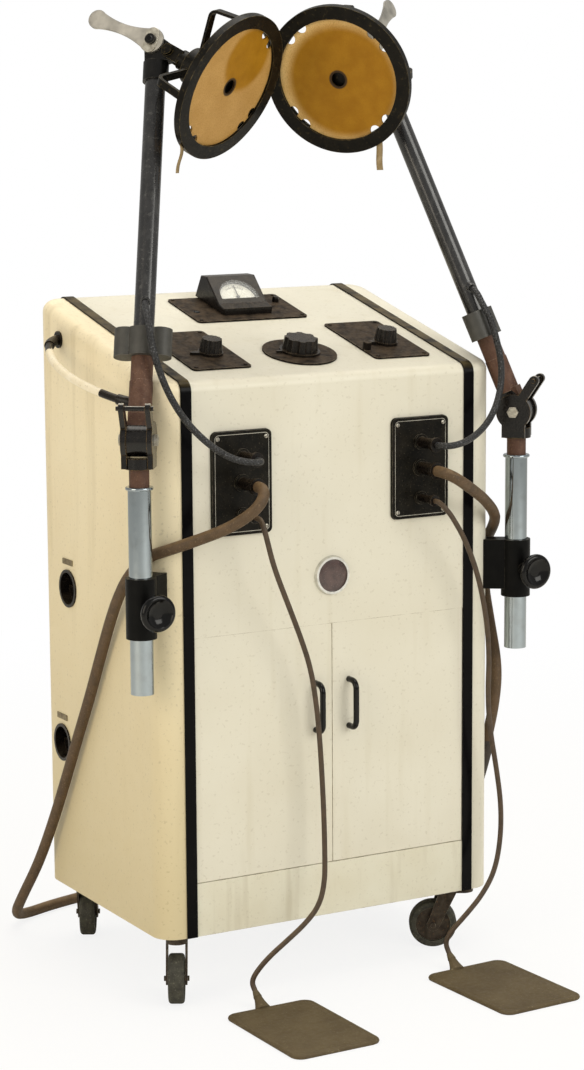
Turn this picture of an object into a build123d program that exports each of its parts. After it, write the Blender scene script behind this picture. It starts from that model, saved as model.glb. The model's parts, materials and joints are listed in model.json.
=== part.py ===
from build123d import *
from math import atan2, cos, degrees, hypot, radians, sin, tan
import os

# Short-wave therapy cabinet on casters, with two jointed electrode arms.
# Millimetres. X runs along the front, Y towards the back, Z up from the floor.

# Cabinet
width = 580.0
depth = 412.0
cabinet_y = 29.0            # middle of the cabinet, behind the origin
base_z = 103.0              # underside, above the floor
front_height = 827.0
back_height = 928.0
corner_radius = 34.0        # upright corners
edge_radius = 16.0          # edges round the sloping top
sheet = 2.0
seat = 0.1                  # room left where one sheet lies inside another
strip_inner = 233.0         # inner edge of a trim strip, from the middle
strip_width = 17.4
strip_thickness = 2.5
floor_height = 81.5         # compartment floor, above the underside
deck_height = 453.0         # deck over the compartment, above the underside
back_lip = 46.0             # top sheet turned down behind
louvre_rows = 8
louvre_pitch = 30.0
louvre_length = 120.0
louvre_height = 14.0
louvre_depth = 6.0
louvre_x = 90.0
louvre_z = 660.0            # middle of the louvres
gland_bore = 4.5
gland_radius = 12.0
gland_spot = (150.0, 220.0)

# Doors
gap = 1.0                   # round the doors
door_thickness = 18.0
pivot_inset = 8.0           # hinge pin from the strip
pivot_depth = 7.0           # hinge pin behind the door's face
pivot_radius = 2.5
pivot_boss = 5.0
pivot_length = 5.0          # pin beyond the door's end
running = 0.05              # radial clearance of a running fit
pull_x = 29.0
pull_z = 430.0
pull_height = 72.0
pull_reach = 27.0
pull_radius = 4.5
pull_corner = 12.0

# Controls on the top; s is measured up the slope from the front edge
plate_thickness = 3.0
plate_corner = 7.0
switch_plate = (98.0, 166.0)
switch_x = 155.0
switch_s = 131.0
switch_knob_x = (-145.0, 158.0)
switch_knob_s = 110.0
switch_knob_radius = 19.0
switch_knob_height = 24.0
switch_pointer = 35.0
flutes = 14
flute_radius = 2.2
dial_s = 97.0
dial_plate_radius = 57.0
tuning_knob_radius = 27.0
tuning_knob_height = 22.0
tuning_skirt_radius = 31.0
tuning_pointer = 40.0
lobes = 8
lobe_cut_radius = 7.0
cap_spot = (112.0, 88.0)
cap_radius = 6.5
cap_height = 12.0
shaft_radius = 4.0
shaft_length = 24.0
knob_gap = 0.4              # under a turning knob
meter_plate = (193.0, 114.0)
meter_x = 6.0
meter_s = 311.0
meter_width = 86.0
meter_start = 276.0
meter_length = 100.0
meter_lip = 13.0            # height of the front lip
meter_ledge = 20.0          # depth of the front lip
meter_ridge = 42.0          # height of the ridge
meter_ridge_s = 68.0        # ridge, from the meter's front
meter_wall = 4.0
window_width = 62.0
window_straight = 11.0
window_rise = 23.0
glass_thickness = 1.5
needle_length = 24.0
needle_gap = 2.5            # needle's middle below the glass
needle_pivot = 1.5
dial_depth = 6.0

# Terminal plates on the front
terminal_plate = (100.0, 155.0)
terminal_x = 153.0
terminal_z = 780.0
terminal_thickness = 5.0
terminal_corner = 9.0
socket_z = (819.0, 780.0, 734.0)
socket_lip = 4.0
socket_wall = 3.5
plug_reach = (52.0, 53.0, 47.0)      # plug's end, from the cabinet's face
plug_radius = (8.5, 9.5, 6.5)
plug_collar = (11.0, 12.5, 8.5)
plug_collar_length = 6.0
plug_inside = 14.0

# Badge, side ports and side handle
badge_radius = 30.0
badge_z = 628.0
badge_thickness = 5.0
badge_rim = 3.5
port_radius = 29.5
port_bore = 25.0
port_depth = 26.0
port_lip = 2.5
port_spots = ((105.0, 586.0), (136.0, 336.0))      # from the cabinet's middle, and height
handle_spots = (-140.0, 97.0)                     # bar ends, from the cabinet's middle
handle_reach = 27.0
handle_bow = 30.0
handle_drop = 40.0                                 # below the edge of the top
handle_radius = 6.0
bracket_radius = 8.0
bracket_run = 24.0
bracket_foot = 13.0
bracket_plate = 3.0

# Casters
caster_inset = 46.0
wheel_radius = 37.5
wheel_width = 24.0
wheel_trail = 30.0
axle_radius = 4.0
fork_side = 3.0
fork_room = 1.0             # each side of the wheel
crown_height = 13.0
stem_radius = 5.5
stem_length = 34.0
caster_plate = 84.0
caster_turns = {"front_left": -119.2, "front_right": 150.8, "rear_left": 60.8, "rear_right": -29.2}

# Masts and their clamps
mast_x = 323.0
mast_offset = 11.0          # mast axis, in front of the cabinet's face
mast_radius = 17.0
rod_radius = 14.6
mast_bottom = 486.0
mast_top = 789.0
flare_radius = 20.5
clamp_bottom = 568.0
clamp_height = 89.0
clamp_wall = 5.5
web_width = 30.0
web_drop = 12.0             # web's lower edge, above the sleeve's
clamp_knob_z = 613.0
clamp_knob_radius = 27.0
clamp_knob_reach = 38.0     # knob's back, in front of the mast axis
clamp_knob_depth = 22.0
clamp_screw_radius = 5.0
rod_depth = 120.0           # rod inside the mast

# Arms
elbow_z = 856.0
cheek_gap = 30.0
cheek_thickness = 8.0
cheek_radius = 27.0
tongue_radius = 24.0
elbow_pin_radius = 5.0
elbow_pin_reach = 29.0
horn_length = 58.0
horn_angle = 33.0
horn_width = 15.0
stop_radius = 3.5
clear = 0.3                 # between pieces that turn past each other
arm_lean = 23.1
arm_turns = {"left": 55.1, "right": 132.6}
arm_length = 599.0          # elbow pin to the head's middle
tube_radius = 17.0
tube_step = 86.0
tube_upper_radius = 16.0
collar_start = 122.0
collar_height = 42.0
collar_half = 42.0
collar_lobe = 17.0
collar_core = 24.0
collar_step = 21.0          # lower tube inside the collar
arm_radius = 15.0
arm_wall = 2.0
lead_hole = 212.0           # lead gland, from the elbow pin
gland_tilt = 35.0
gland_length = 8.0
lead_turns = {"left": -170.0, "right": 128.0}      # gland round the arm

# Electrode heads: in each head x points to the electrode, y along its pin, z up the arm
head_turns = {"left": -105.0, "right": 78.3}       # round the arm, from its downhill side
socket_radius = 19.0
socket_top = -24.0
socket_length = 30.0
socket_floor = 4.0
head_half = 9.0
head_boss = 13.0
lever_pin = (-4.0, 8.0)
tilt_pin = (24.0, -12.0)
tilt_pin_radius = 4.0
tilt_boss = 10.5
ear_thickness = 5.0
nut_radius = 8.0
nut_height = 6.0
tilt_angles = {"left": -33.7, "right": -14.4}      # electrode's axis below square
hub_start = 20.0
hub_neck = 15.0
hub_radius = 28.0
hub_thickness = 12.0
ring_reach = 112.0          # ring, from the tilt pin
ring_radius = 113.5
ring_inner = 93.0
ring_thickness = 11.0
cage_depth = 60.0
leg_radius = 95.0
leg_width = 12.0
leg_thickness = 4.5
leg_bend = 12.0
leg_turns = {"left": 10.0, "right": -5.0}
disc_radius = 100.0
disc_thickness = 3.0
disc_hole = 11.0
notch_radius = 8.5
notch_circle = 94.0
notch_spread = 8.0          # each notch of a pair, in degrees
backing_radius = 70.0
backing_gap = 7.0
backing_thickness = 2.0
post_radius = 5.0
lever_tip = (-93.0, 52.0)
lever_tip_radius = 14.5
lever_root = 19.0
lever_neck = 8.0
lever_thickness = 4.0

# Cords and pads; routes are given from the cabinet's middle
lead_diameter = 10.0
cable_diameter = 17.0
sleeve_diameter = 25.0
pad_cord_diameter = 8.0
pad_size = (145.0, 210.0)
pad_thickness = 7.0
pad_corner = 16.0
neck_radius = 6.0
neck_length = 26.0
neck_start = 12.0           # cord's straight run out of the pad's neck
lead_start = 13.0           # and the lead's out of the arm
neck_rise = 41.0
pads = {"left": (-158.0, -390.0, 1.0), "right": (196.0, -381.0, 3.0)}
neck_ends = {"left": (-166.0, -268.0, 17.0), "right": (179.0, -262.0, 17.0)}
lead_routes = {
    "left": [
        (-294, -195, 1023), (-296, -209, 990), (-288, -217, 950), (-275, -225, 913),
        (-257, -239, 878), (-232, -255, 848), (-204, -271, 827), (-179, -281, 820), (-162, -280.5, 819),
        (-153, -271, 819),
    ],
    "right": [
        (268, -203, 1022), (275, -216, 1000), (281, -223, 970), (286, -229, 937),
        (284, -234, 905), (272, -240, 872), (250, -250, 847), (220, -264, 831), (187, -280, 823),
        (165, -283, 820), (153, -271, 819),
    ],
}
cable_route = [
    (-153, -277, 780), (-161, -290, 766), (-180, -288, 746), (-210, -268, 724),
    (-245, -238, 706), (-276, -214, 692), (-299, -190, 681), (-310, -147, 646), (-308, -104, 602),
    (-305, -68, 556), (-303, -36, 508), (-303, 8, 432), (-303, 54, 360), (-304, 95, 290),
    (-306, 142, 211), (-312, 190, 130), (-322, 238, 62), (-318, 278, 22), (-286, 308, 9.5),
    (-222, 336, 9), (-115, 362, 9), (12, 370, 9), (140, 358, 9), (244, 326, 9),
    (314, 272, 9), (342, 200, 14), (343, 110, 38), (334, 20, 90), (318, -75, 175),
    (308, -135, 262), (306, -165, 330), (310, -181, 395), (314, -181, 450), (313, -161, 515),
    (312, -142, 580), (311, -147, 641), (302, -191, 681), (278, -225, 703), (245, -249, 728),
    (212, -269, 747), (184, -285, 762), (165, -290, 773), (153, -277, 780),
]
pad_cord_routes = {
    "left": [
        (-153, -264, 734), (-152.5, -273, 725), (-150, -278, 708), (-138, -277, 664),
        (-112, -270, 608), (-87, -261, 557), (-65, -254, 505), (-54, -251, 452), (-47, -250, 393),
        (-41, -250, 290), (-42, -255, 213), (-46, -261, 172), (-58, -265, 140), (-81, -266, 117),
        (-112, -265, 95), (-143, -261, 72), (-162, -256, 50), (-168, -254, 36),
    ],
    "right": [
        (153, -264, 734), (158, -272, 726), (169, -274, 713), (198, -267, 673),
        (226, -259, 617), (245, -254, 550), (253, -251, 487), (251, -250, 428), (255, -250, 372),
        (268, -250, 305), (277, -250, 247), (276, -251, 193), (263, -255, 143), (237, -258, 108),
        (206, -259, 81), (183, -253, 57), (176, -248.5, 40),
    ],
}
sleeve_points = (31, 34)    # corners of the cable's route inside the sleeve

# Places worked out from the sizes above
front_y = cabinet_y - depth / 2
back_y = cabinet_y + depth / 2
side_x = width / 2
floor_z = base_z + floor_height
deck_z = base_z + deck_height
slope = atan2(back_height - front_height, depth)
mast_y = front_y - mast_offset
seam_x = strip_inner + gap
sides = {"left": -1, "right": 1}

os.makedirs("parts", exist_ok=True)


def keep(part, label):
    part.label = label
    export_step(part, f"parts/{label}.step")


def top_plane(x, s, height=0.0):
    """Plane on the sloping top, its y up the slope."""
    y = front_y + s * cos(slope) - height * sin(slope)
    z = base_z + front_height + s * sin(slope) + height * cos(slope)
    return Plane(origin=(x, y, z), x_dir=(1, 0, 0), z_dir=(0, -sin(slope), cos(slope)))


def front_plane(x, z, out=0.0):
    """Plane on the cabinet's face, looking forwards."""
    return Plane(origin=(x, front_y - out, z), x_dir=(1, 0, 0), z_dir=(0, -1, 0))


def side_outline(grow):
    """Corners of the cabinet's side view, grown outwards."""
    rise = grow / cos(slope)
    return [
        (front_y - grow, base_z - max(0.0, -grow)),
        (back_y + grow, base_z - max(0.0, -grow)),
        (back_y + grow, base_z + back_height + grow * tan(slope) + rise),
        (front_y - grow, base_z + front_height - grow * tan(slope) + rise),
    ]


def side_profile(grow=0.0):
    """Cabinet's side view with its two top corners rounded."""
    with BuildSketch() as profile:
        Polygon(*side_outline(grow), align=None)
        fillet(profile.vertices().sort_by(Axis.Y)[-2:], edge_radius + grow)
    return profile.sketch_local


def cabinet_form(inset=0.0):
    """Solid of the cabinet's outside, moved in by a wall."""
    with BuildPart() as form:
        with BuildSketch(Plane.YZ):
            Polygon(*side_outline(-inset), align=None)
        extrude(amount=side_x - inset, both=True)
        fillet(form.edges().filter_by(Axis.Z), corner_radius - inset)
        fillet(form.faces().sort_by(Axis.Z)[-1].edges(), edge_radius - inset)
    return form.part


top_shafts = [(x, switch_knob_s) for x in switch_knob_x] + [(0.0, dial_s)]
port_places = [(cabinet_y + y, z) for y, z in port_spots]
outside = cabinet_form()
inside = cabinet_form(sheet)

# Side panels, wrapped round the four upright corners
with BuildPart() as side_panels:
    add(outside)
    add(inside, mode=Mode.SUBTRACT)
    with BuildSketch(Plane.YZ):
        Polygon(*side_outline(corner_radius), align=None)
    extrude(amount=seam_x, both=True, mode=Mode.SUBTRACT)
    with BuildSketch(Plane.YZ.offset(-side_x)):
        with Locations(*port_places):
            Circle(port_bore + sheet + seat)
    extrude(amount=sheet, mode=Mode.SUBTRACT)
keep(side_panels.part, "side_panels")

# Middle sheet: front above the doors, top, and a lip turned down behind
with BuildPart() as wrap_panel:
    add(outside)
    add(inside, mode=Mode.SUBTRACT)
    for side in (-1, 1):
        with BuildSketch(Plane.YZ.offset(side * (seam_x - seat))):
            Polygon(*side_outline(corner_radius), align=None)
        extrude(amount=side * side_x, mode=Mode.SUBTRACT)
    with BuildSketch(Plane.YZ):
        with Locations((front_y - sheet, base_z - sheet)):
            Rectangle(depth, deck_height - gap + sheet, align=Align.MIN)
        with Locations((back_y - edge_radius, base_z - sheet)):
            Rectangle(depth, back_height - back_lip + sheet, align=Align.MIN)
    extrude(amount=side_x, both=True, mode=Mode.SUBTRACT)
    for x, s in top_shafts:
        with BuildSketch(top_plane(x, s, -2 * sheet)):
            Circle(shaft_radius + gap)
        extrude(amount=4 * sheet, mode=Mode.SUBTRACT)
    for side in (-1, 1):
        for z, radius in zip(socket_z, plug_radius):
            with BuildSketch(front_plane(side * terminal_x, z, sheet)):
                Circle(radius + socket_wall)
            extrude(amount=-4 * sheet, mode=Mode.SUBTRACT)
keep(wrap_panel.part, "wrap_panel")

# Black strips over the seams, from the underside up the front, over the top and down behind
with BuildPart() as trim_strips:
    for side in (-1, 1):
        with BuildSketch(Plane.YZ.offset(side * strip_inner)):
            add(side_profile(strip_thickness))
            add(side_profile(), mode=Mode.SUBTRACT)
        extrude(amount=side * strip_width)
    fillet(trim_strips.faces().filter_by(Axis.X).edges().filter_by(Axis.Z), 0.8)
keep(trim_strips.part, "trim_strips")

# Caster places, and the angle of each one's trail
casters = {}
for end, y in (("front", front_y + caster_inset), ("rear", back_y - caster_inset)):
    for hand, side in sides.items():
        casters[f"{end}_{hand}"] = (side * (side_x - caster_inset), y)

# Base: floor over a skirt, a kick panel at the front, and caster plates with stem sockets
floor_size = (width - 2 * (sheet + seat), depth - 2 * (sheet + seat))
floor_corner = corner_radius - sheet - seat
pivots = [(side * (strip_inner - pivot_inset), front_y + pivot_depth) for side in (-1, 1)]
with BuildPart() as base_pan:
    with BuildSketch(Plane.XY.offset(base_z)):
        with Locations((0, cabinet_y)):
            RectangleRounded(*floor_size, floor_corner)
            offset(amount=-sheet, mode=Mode.SUBTRACT)
    extrude(amount=floor_height)
    with BuildSketch(Plane.XY.offset(floor_z - sheet)):
        with Locations((0, cabinet_y)):
            RectangleRounded(*floor_size, floor_corner)
    extrude(amount=sheet)
    with BuildSketch(Plane.XY.offset(base_z)):
        with Locations((0, front_y)):
            Rectangle(2 * (seam_x - seat), sheet + 2 * seat, align=(Align.CENTER, Align.MIN))
    extrude(amount=floor_height)
    with BuildSketch(Plane.XY.offset(base_z)):
        with Locations(*casters.values()):
            Rectangle(caster_plate, caster_plate)
        with Locations((0, cabinet_y)):
            RectangleRounded(*floor_size, floor_corner, mode=Mode.INTERSECT)
    extrude(amount=sheet * 2)
    with BuildSketch(Plane.XY.offset(base_z)):
        with Locations(*casters.values()):
            Circle(stem_radius + 4 * sheet)
    extrude(amount=stem_length + 2 * sheet)
    with BuildSketch(Plane.XY.offset(base_z)):
        with Locations(*casters.values()):
            Circle(stem_radius + running)
    extrude(amount=stem_length + gap, mode=Mode.SUBTRACT)
    with BuildSketch(Plane.XY.offset(floor_z - sheet)):
        with Locations(*pivots):
            Circle(pivot_radius + running)
    extrude(amount=sheet, mode=Mode.SUBTRACT)
keep(base_pan.part, "base_pan")

# Deck over the compartment, with the doors' upper pivot holes
with BuildPart() as deck_shelf:
    with BuildSketch(Plane.XY.offset(deck_z)):
        with Locations((0, cabinet_y)):
            RectangleRounded(*floor_size, floor_corner)
        with Locations(*pivots):
            Circle(pivot_radius + running, mode=Mode.SUBTRACT)
    extrude(amount=sheet)
keep(deck_shelf.part, "deck_shelf")

# Back panel with pressed louvres, open downwards
louvre_rows_z = [louvre_z + louvre_pitch * (row - (louvre_rows - 1) / 2) for row in range(louvre_rows)]
back_top = base_z + back_height - back_lip - gap
hood = [(0, 0), (louvre_depth, -louvre_height * 0.7), (louvre_depth, -louvre_height), (0, -louvre_height)]
throat_x = louvre_depth - 1
throat = [(-2 * sheet, -1.8), (0, -1.8), (throat_x, -louvre_height * 0.7)]
throat += [(throat_x, -louvre_height - 1), (-2 * sheet, -louvre_height - 1)]
with BuildPart() as back_panel:
    with BuildSketch(Plane.XZ.offset(-back_y + sheet)):
        with Locations((0, base_z)):
            Rectangle(2 * (seam_x - seat), back_top - base_z, align=(Align.CENTER, Align.MIN))
    extrude(amount=-sheet)
    for x in (-louvre_x, louvre_x):
        with BuildSketch(Plane.YZ.offset(x - louvre_length / 2)):
            with Locations(*[(back_y, z) for z in louvre_rows_z]):
                Polygon(*hood, align=None)
        extrude(amount=louvre_length)
        with BuildSketch(Plane.YZ.offset(x - louvre_length / 2 + 1)):
            with Locations(*[(back_y, z) for z in louvre_rows_z]):
                Polygon(*throat, align=None)
        extrude(amount=louvre_length - 2, mode=Mode.SUBTRACT)
    with BuildSketch(Plane.XZ.offset(-back_y - sheet)):
        with Locations(gland_spot):
            Circle(gland_radius - 3 + seat)
    extrude(amount=3 * sheet, mode=Mode.SUBTRACT)
keep(back_panel.part, "back_panel")

# Gland for the supply lead: flange outside, barrel through the sheet, nut inside
gland_x, gland_z = gland_spot
with BuildPart() as mains_gland:
    with BuildSketch(Plane(origin=(gland_x, back_y + 12, gland_z), z_dir=(0, -1, 0))):
        Circle(gland_radius)
    extrude(amount=12)
    chamfer(mains_gland.edges().sort_by(Axis.Y)[-1], 2)
    with BuildSketch(Plane(origin=(gland_x, back_y, gland_z), z_dir=(0, -1, 0))):
        Circle(gland_radius - 3)
    extrude(amount=14)
    with BuildSketch(Plane(origin=(gland_x, back_y - sheet, gland_z), z_dir=(0, -1, 0))):
        RegularPolygon(gland_radius + 2, 6)
    extrude(amount=5)
    with BuildSketch(Plane(origin=(gland_x, back_y + 12, gland_z), z_dir=(0, -1, 0))):
        Circle(gland_bore)
    extrude(amount=26, mode=Mode.SUBTRACT)
keep(mains_gland.part, "mains_gland")

# Doors: pans with turned edges, pivot pins in bosses, and a bent pull
door_width = strip_inner - 1.5 * gap
door_bottom = floor_z + gap
door_height = deck_z - gap - door_bottom
for hand, side in sides.items():
    hinge_x, hinge_y = side * (strip_inner - pivot_inset), front_y + pivot_depth
    door_x = side * (gap / 2 + door_width / 2)
    with BuildPart() as door:
        with BuildSketch(front_plane(door_x, door_bottom + door_height / 2)):
            Rectangle(door_width, door_height)
        extrude(amount=-door_thickness)
        with BuildSketch(front_plane(door_x, door_bottom + door_height / 2, -sheet)):
            Rectangle(door_width - 2 * sheet, door_height - 2 * sheet)
        extrude(amount=-door_thickness, mode=Mode.SUBTRACT)
        with BuildSketch(Plane.XY.offset(door_bottom)):
            with Locations((hinge_x, hinge_y)):
                Circle(pivot_boss)
        extrude(amount=door_height)
        with BuildSketch(Plane.XY.offset(door_bottom - pivot_length)):
            with Locations((hinge_x, hinge_y)):
                Circle(pivot_radius)
        extrude(amount=door_height + 2 * pivot_length)
        with BuildLine() as grip:
            FilletPolyline(
                (side * pull_x, front_y, pull_z - pull_height / 2),
                (side * pull_x, front_y - pull_reach + pull_radius, pull_z - pull_height / 2),
                (side * pull_x, front_y - pull_reach + pull_radius, pull_z + pull_height / 2),
                (side * pull_x, front_y, pull_z + pull_height / 2),
                radius=pull_corner,
            )
        with BuildSketch(Plane(origin=grip.line @ 0, z_dir=grip.line % 0)):
            Circle(pull_radius)
        sweep()
    keep(door.part, f"door_{hand}")

# Plates on the top, bored for the knob shafts, with a small knurled cap beside the right switch
with BuildPart() as top_plates:
    for side in (-1, 1):
        with BuildSketch(top_plane(side * switch_x, switch_s)):
            RectangleRounded(*switch_plate, plate_corner)
        extrude(amount=plate_thickness)
    with BuildSketch(top_plane(meter_x, meter_s)):
        RectangleRounded(*meter_plate, plate_corner)
    extrude(amount=plate_thickness)
    with BuildSketch(top_plane(0, dial_s)):
        Circle(dial_plate_radius)
    extrude(amount=plate_thickness)
    for x, s in top_shafts:
        with BuildSketch(top_plane(x, s)):
            Circle(shaft_radius + running)
        extrude(amount=plate_thickness, mode=Mode.SUBTRACT)
    with BuildSketch(top_plane(*cap_spot, plate_thickness)):
        Circle(cap_radius)
    extrude(amount=cap_height)
keep(top_plates.part, "top_plates")


def profile_plane(x):
    """Upright plane up the slope of the top: its x up the slope, its y off the top."""
    return Plane(origin=top_plane(x, 0).origin, x_dir=(0, cos(slope), sin(slope)), z_dir=(1, 0, 0))


# Meter: a sloping hood with a D-shaped window, its dial inside
window_tilt = atan2(meter_ridge - meter_lip, meter_ridge_s - meter_ledge)
window_s = meter_start + (meter_ledge + meter_ridge_s) / 2
window_h = plate_thickness + (meter_lip + meter_ridge) / 2
window_plane = Plane(
    origin=top_plane(meter_x, window_s, window_h).origin,
    x_dir=(1, 0, 0),
    z_dir=(0, -sin(slope + window_tilt), cos(slope + window_tilt)),
)


def window_outline(grow=0.0):
    """D-shaped window, straight below and round above."""
    half = window_width / 2 + grow
    low = -(window_straight + window_rise) / 2 - grow
    with BuildSketch() as outline:
        with BuildLine():
            Polyline((-half, low + window_straight), (-half, low), (half, low), (half, low + window_straight))
            ThreePointArc(
                (half, low + window_straight),
                (0, low + window_straight + window_rise + 2 * grow),
                (-half, low + window_straight),
            )
        make_face()
    return outline.sketch_local


with BuildPart() as meter_housing:
    with BuildSketch(profile_plane(meter_x - meter_width / 2)):
        with Locations((meter_start, plate_thickness)):
            Polygon(
                (0, 0),
                (meter_length, 0),
                (meter_length - 12, meter_ridge - 4),
                (meter_ridge_s, meter_ridge),
                (meter_ledge, meter_lip),
                (0, meter_lip - 2),
                align=None,
            )
    extrude(amount=meter_width)
    fillet(meter_housing.faces().filter_by(Axis.X).edges(), 2.5)
    with BuildSketch(window_plane):
        add(window_outline())
    extrude(amount=-dial_depth - glass_thickness, mode=Mode.SUBTRACT)
    with BuildSketch(window_plane):
        add(window_outline(meter_wall / 2))
    extrude(amount=-glass_thickness, mode=Mode.SUBTRACT)
    needle_axis = window_plane.offset(-dial_depth - glass_thickness)
    with BuildSketch(needle_axis):
        with Locations((0, -window_rise / 2)):
            Circle(needle_pivot + running)
    extrude(amount=-meter_wall, mode=Mode.SUBTRACT)
keep(meter_housing.part, "meter_housing")

with BuildPart() as meter_glass:
    with BuildSketch(window_plane.offset(-glass_thickness)):
        add(window_outline(meter_wall / 2 - seat))
    extrude(amount=glass_thickness)
keep(meter_glass.part, "meter_glass")

with BuildPart() as meter_needle:
    with BuildSketch(window_plane.offset(-glass_thickness - needle_gap - 1)):
        with Locations((0, -window_rise / 2)):
            Circle(needle_pivot * 2)
            with Locations((0, needle_length / 2 - needle_pivot)):
                Rectangle(1.2, needle_length)
    extrude(amount=1)
    with BuildSketch(window_plane.offset(-glass_thickness - needle_gap)):
        with Locations((0, -window_rise / 2)):
            Circle(needle_pivot)
    extrude(amount=-(dial_depth - needle_gap) - meter_wall + gap)
keep(meter_needle.part, "meter_needle")

# Switch knobs: fluted domes on a disc with a pointer
knob_seat = plate_thickness + knob_gap
for hand, knob_x in zip(("left", "right"), switch_knob_x):
    with BuildPart() as knob:
        with BuildSketch(top_plane(knob_x, switch_knob_s, knob_seat)):
            Circle(switch_knob_radius)
            Polygon(
                (0, 9),
                (-switch_pointer + 4, 2.5),
                (-switch_pointer, 0),
                (-switch_pointer + 4, -2.5),
                (0, -9),
                align=None,
            )
        extrude(amount=4)
        with BuildSketch(top_plane(knob_x, switch_knob_s, knob_seat + 4)):
            Circle(switch_knob_radius - 1.5)
            with PolarLocations(switch_knob_radius - 0.5, flutes):
                Circle(flute_radius, mode=Mode.SUBTRACT)
        extrude(amount=switch_knob_height - 4, taper=7)
        with BuildSketch(top_plane(knob_x, switch_knob_s, knob_seat)):
            Circle(shaft_radius)
        extrude(amount=-shaft_length)
    keep(knob.part, f"knob_{hand}")

# Tuning knob: eight lobes on a round skirt with a pointer
with BuildPart() as tuning_knob:
    with BuildSketch(top_plane(0, dial_s, knob_seat)):
        Circle(tuning_skirt_radius)
        Polygon((0, 8), (-tuning_pointer, 1.5), (-tuning_pointer, -1.5), (0, -8), align=None)
    extrude(amount=3)
    with BuildSketch(top_plane(0, dial_s, knob_seat + 3)):
        Circle(tuning_knob_radius)
        with PolarLocations(tuning_knob_radius + 3.5, lobes):
            Circle(lobe_cut_radius, mode=Mode.SUBTRACT)
    extrude(amount=tuning_knob_height - 3, taper=5)
    with BuildSketch(top_plane(0, dial_s, knob_seat)):
        Circle(shaft_radius)
    extrude(amount=-shaft_length)
keep(tuning_knob.part, "tuning_knob")

# Terminal plates with raised sockets, and the plugs in them
with BuildPart() as terminal_plates:
    for side in (-1, 1):
        with BuildSketch(front_plane(side * terminal_x, terminal_z)):
            RectangleRounded(*terminal_plate, terminal_corner)
        extrude(amount=terminal_thickness, taper=8)
        for z, radius in zip(socket_z, plug_radius):
            with BuildSketch(front_plane(side * terminal_x, z)):
                Circle(radius + socket_wall)
            extrude(amount=terminal_thickness + socket_lip)
            with BuildSketch(front_plane(side * terminal_x, z)):
                Circle(radius + socket_wall - seat)
            extrude(amount=-plug_inside)
            with BuildSketch(front_plane(side * terminal_x, z, terminal_thickness + socket_lip)):
                Circle(radius + seat)
            extrude(amount=-plug_inside - terminal_thickness, mode=Mode.SUBTRACT)
keep(terminal_plates.part, "terminal_plates")

with BuildPart() as terminal_plugs:
    for side in (-1, 1):
        for z, reach, radius, collar in zip(socket_z, plug_reach, plug_radius, plug_collar):
            with BuildSketch(front_plane(side * terminal_x, z, reach - plug_collar_length)):
                Circle(radius)
            extrude(amount=plug_collar_length - reach - plug_inside + 2 * socket_lip)
            with BuildSketch(front_plane(side * terminal_x, z, reach - plug_collar_length)):
                Circle(collar)
            extrude(amount=plug_collar_length)
keep(terminal_plugs.part, "terminal_plugs")

# Round badge: a dish with a raised rim
with BuildPart() as badge_ring:
    with BuildSketch(front_plane(0, badge_z)):
        Circle(badge_radius)
    extrude(amount=badge_thickness, taper=20)
    with BuildSketch(front_plane(0, badge_z, badge_thickness)):
        Circle(badge_radius - badge_rim - badge_thickness * tan(radians(20)))
    extrude(amount=-badge_thickness / 2, mode=Mode.SUBTRACT)
keep(badge_ring.part, "badge_ring")

# Cable ports in the left side: cups with a ledge across the lower half
with BuildPart() as side_ports:
    with BuildSketch(Plane.YZ.offset(-side_x)):
        with Locations(*port_places):
            Circle(port_radius)
    extrude(amount=-port_lip)
    with BuildSketch(Plane.YZ.offset(-side_x)):
        with Locations(*port_places):
            Circle(port_bore + sheet)
    extrude(amount=port_depth)
    with BuildSketch(Plane.YZ.offset(-side_x - port_lip)):
        with Locations(*port_places):
            Circle(port_bore)
    extrude(amount=port_lip + port_depth - sheet, mode=Mode.SUBTRACT)
    with BuildSketch(Plane.YZ.offset(-side_x + port_depth / 2)):
        with Locations(*port_places):
            Circle(port_bore + sheet / 2)
        with Locations(*[(y, z + port_bore) for y, z in port_places]):
            Rectangle(3 * port_bore, 2 * port_bore, mode=Mode.SUBTRACT)
    extrude(amount=port_depth / 2 - sheet / 2)
keep(side_ports.part, "side_ports")

# Bowed bar handle on the left side, in two curved brackets
handle_points = []
for y in (handle_spots[0], sum(handle_spots) / 2, handle_spots[1]):
    z = base_z + front_height + (y + depth / 2) * tan(slope) - handle_drop
    handle_points.append((-side_x - handle_reach, cabinet_y + y, z))
handle_middle = (handle_points[1][0] - handle_bow, *handle_points[1][1:])
with BuildPart() as side_handle:
    with BuildLine() as bow:
        ThreePointArc(handle_points[0], handle_middle, handle_points[2])
    with BuildSketch(Plane(origin=bow.line @ 0, z_dir=bow.line % 0)):
        Circle(handle_radius)
    sweep()
    for end, way in ((0, -1), (1, 1)):
        tangent = (bow.line % end) * way
        run_y = bracket_run * way
        foot = Vector(-side_x, (bow.line @ end).Y + run_y, (bow.line @ end).Z + run_y * tan(slope))
        with BuildLine() as crook:
            TangentArc(bow.line @ end, foot, tangent=tangent)
        with BuildSketch(Plane(origin=bow.line @ end, z_dir=tangent)):
            Circle(bracket_radius)
        sweep(path=crook.line)
        with BuildSketch(Plane.YZ.offset(-side_x)):
            with Locations((foot.Y, foot.Z)):
                Circle(bracket_foot)
        extrude(amount=-bracket_plate)
    with BuildSketch(Plane.YZ.offset(-side_x)):
        Polygon(*side_outline(depth), align=None)
    extrude(amount=side_x, mode=Mode.SUBTRACT)
keep(side_handle.part, "side_handle")


def direction(lean, turn):
    """Unit vector that leans from upright towards an angle round Z."""
    lean, turn = radians(lean), radians(turn)
    return Vector(sin(lean) * cos(turn), sin(lean) * sin(turn), cos(lean))


def side_on(plane):
    """Sketch plane on a frame's x and z, looking against its y."""
    return Plane(origin=plane.origin, x_dir=plane.x_dir, z_dir=-plane.y_dir)


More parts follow.
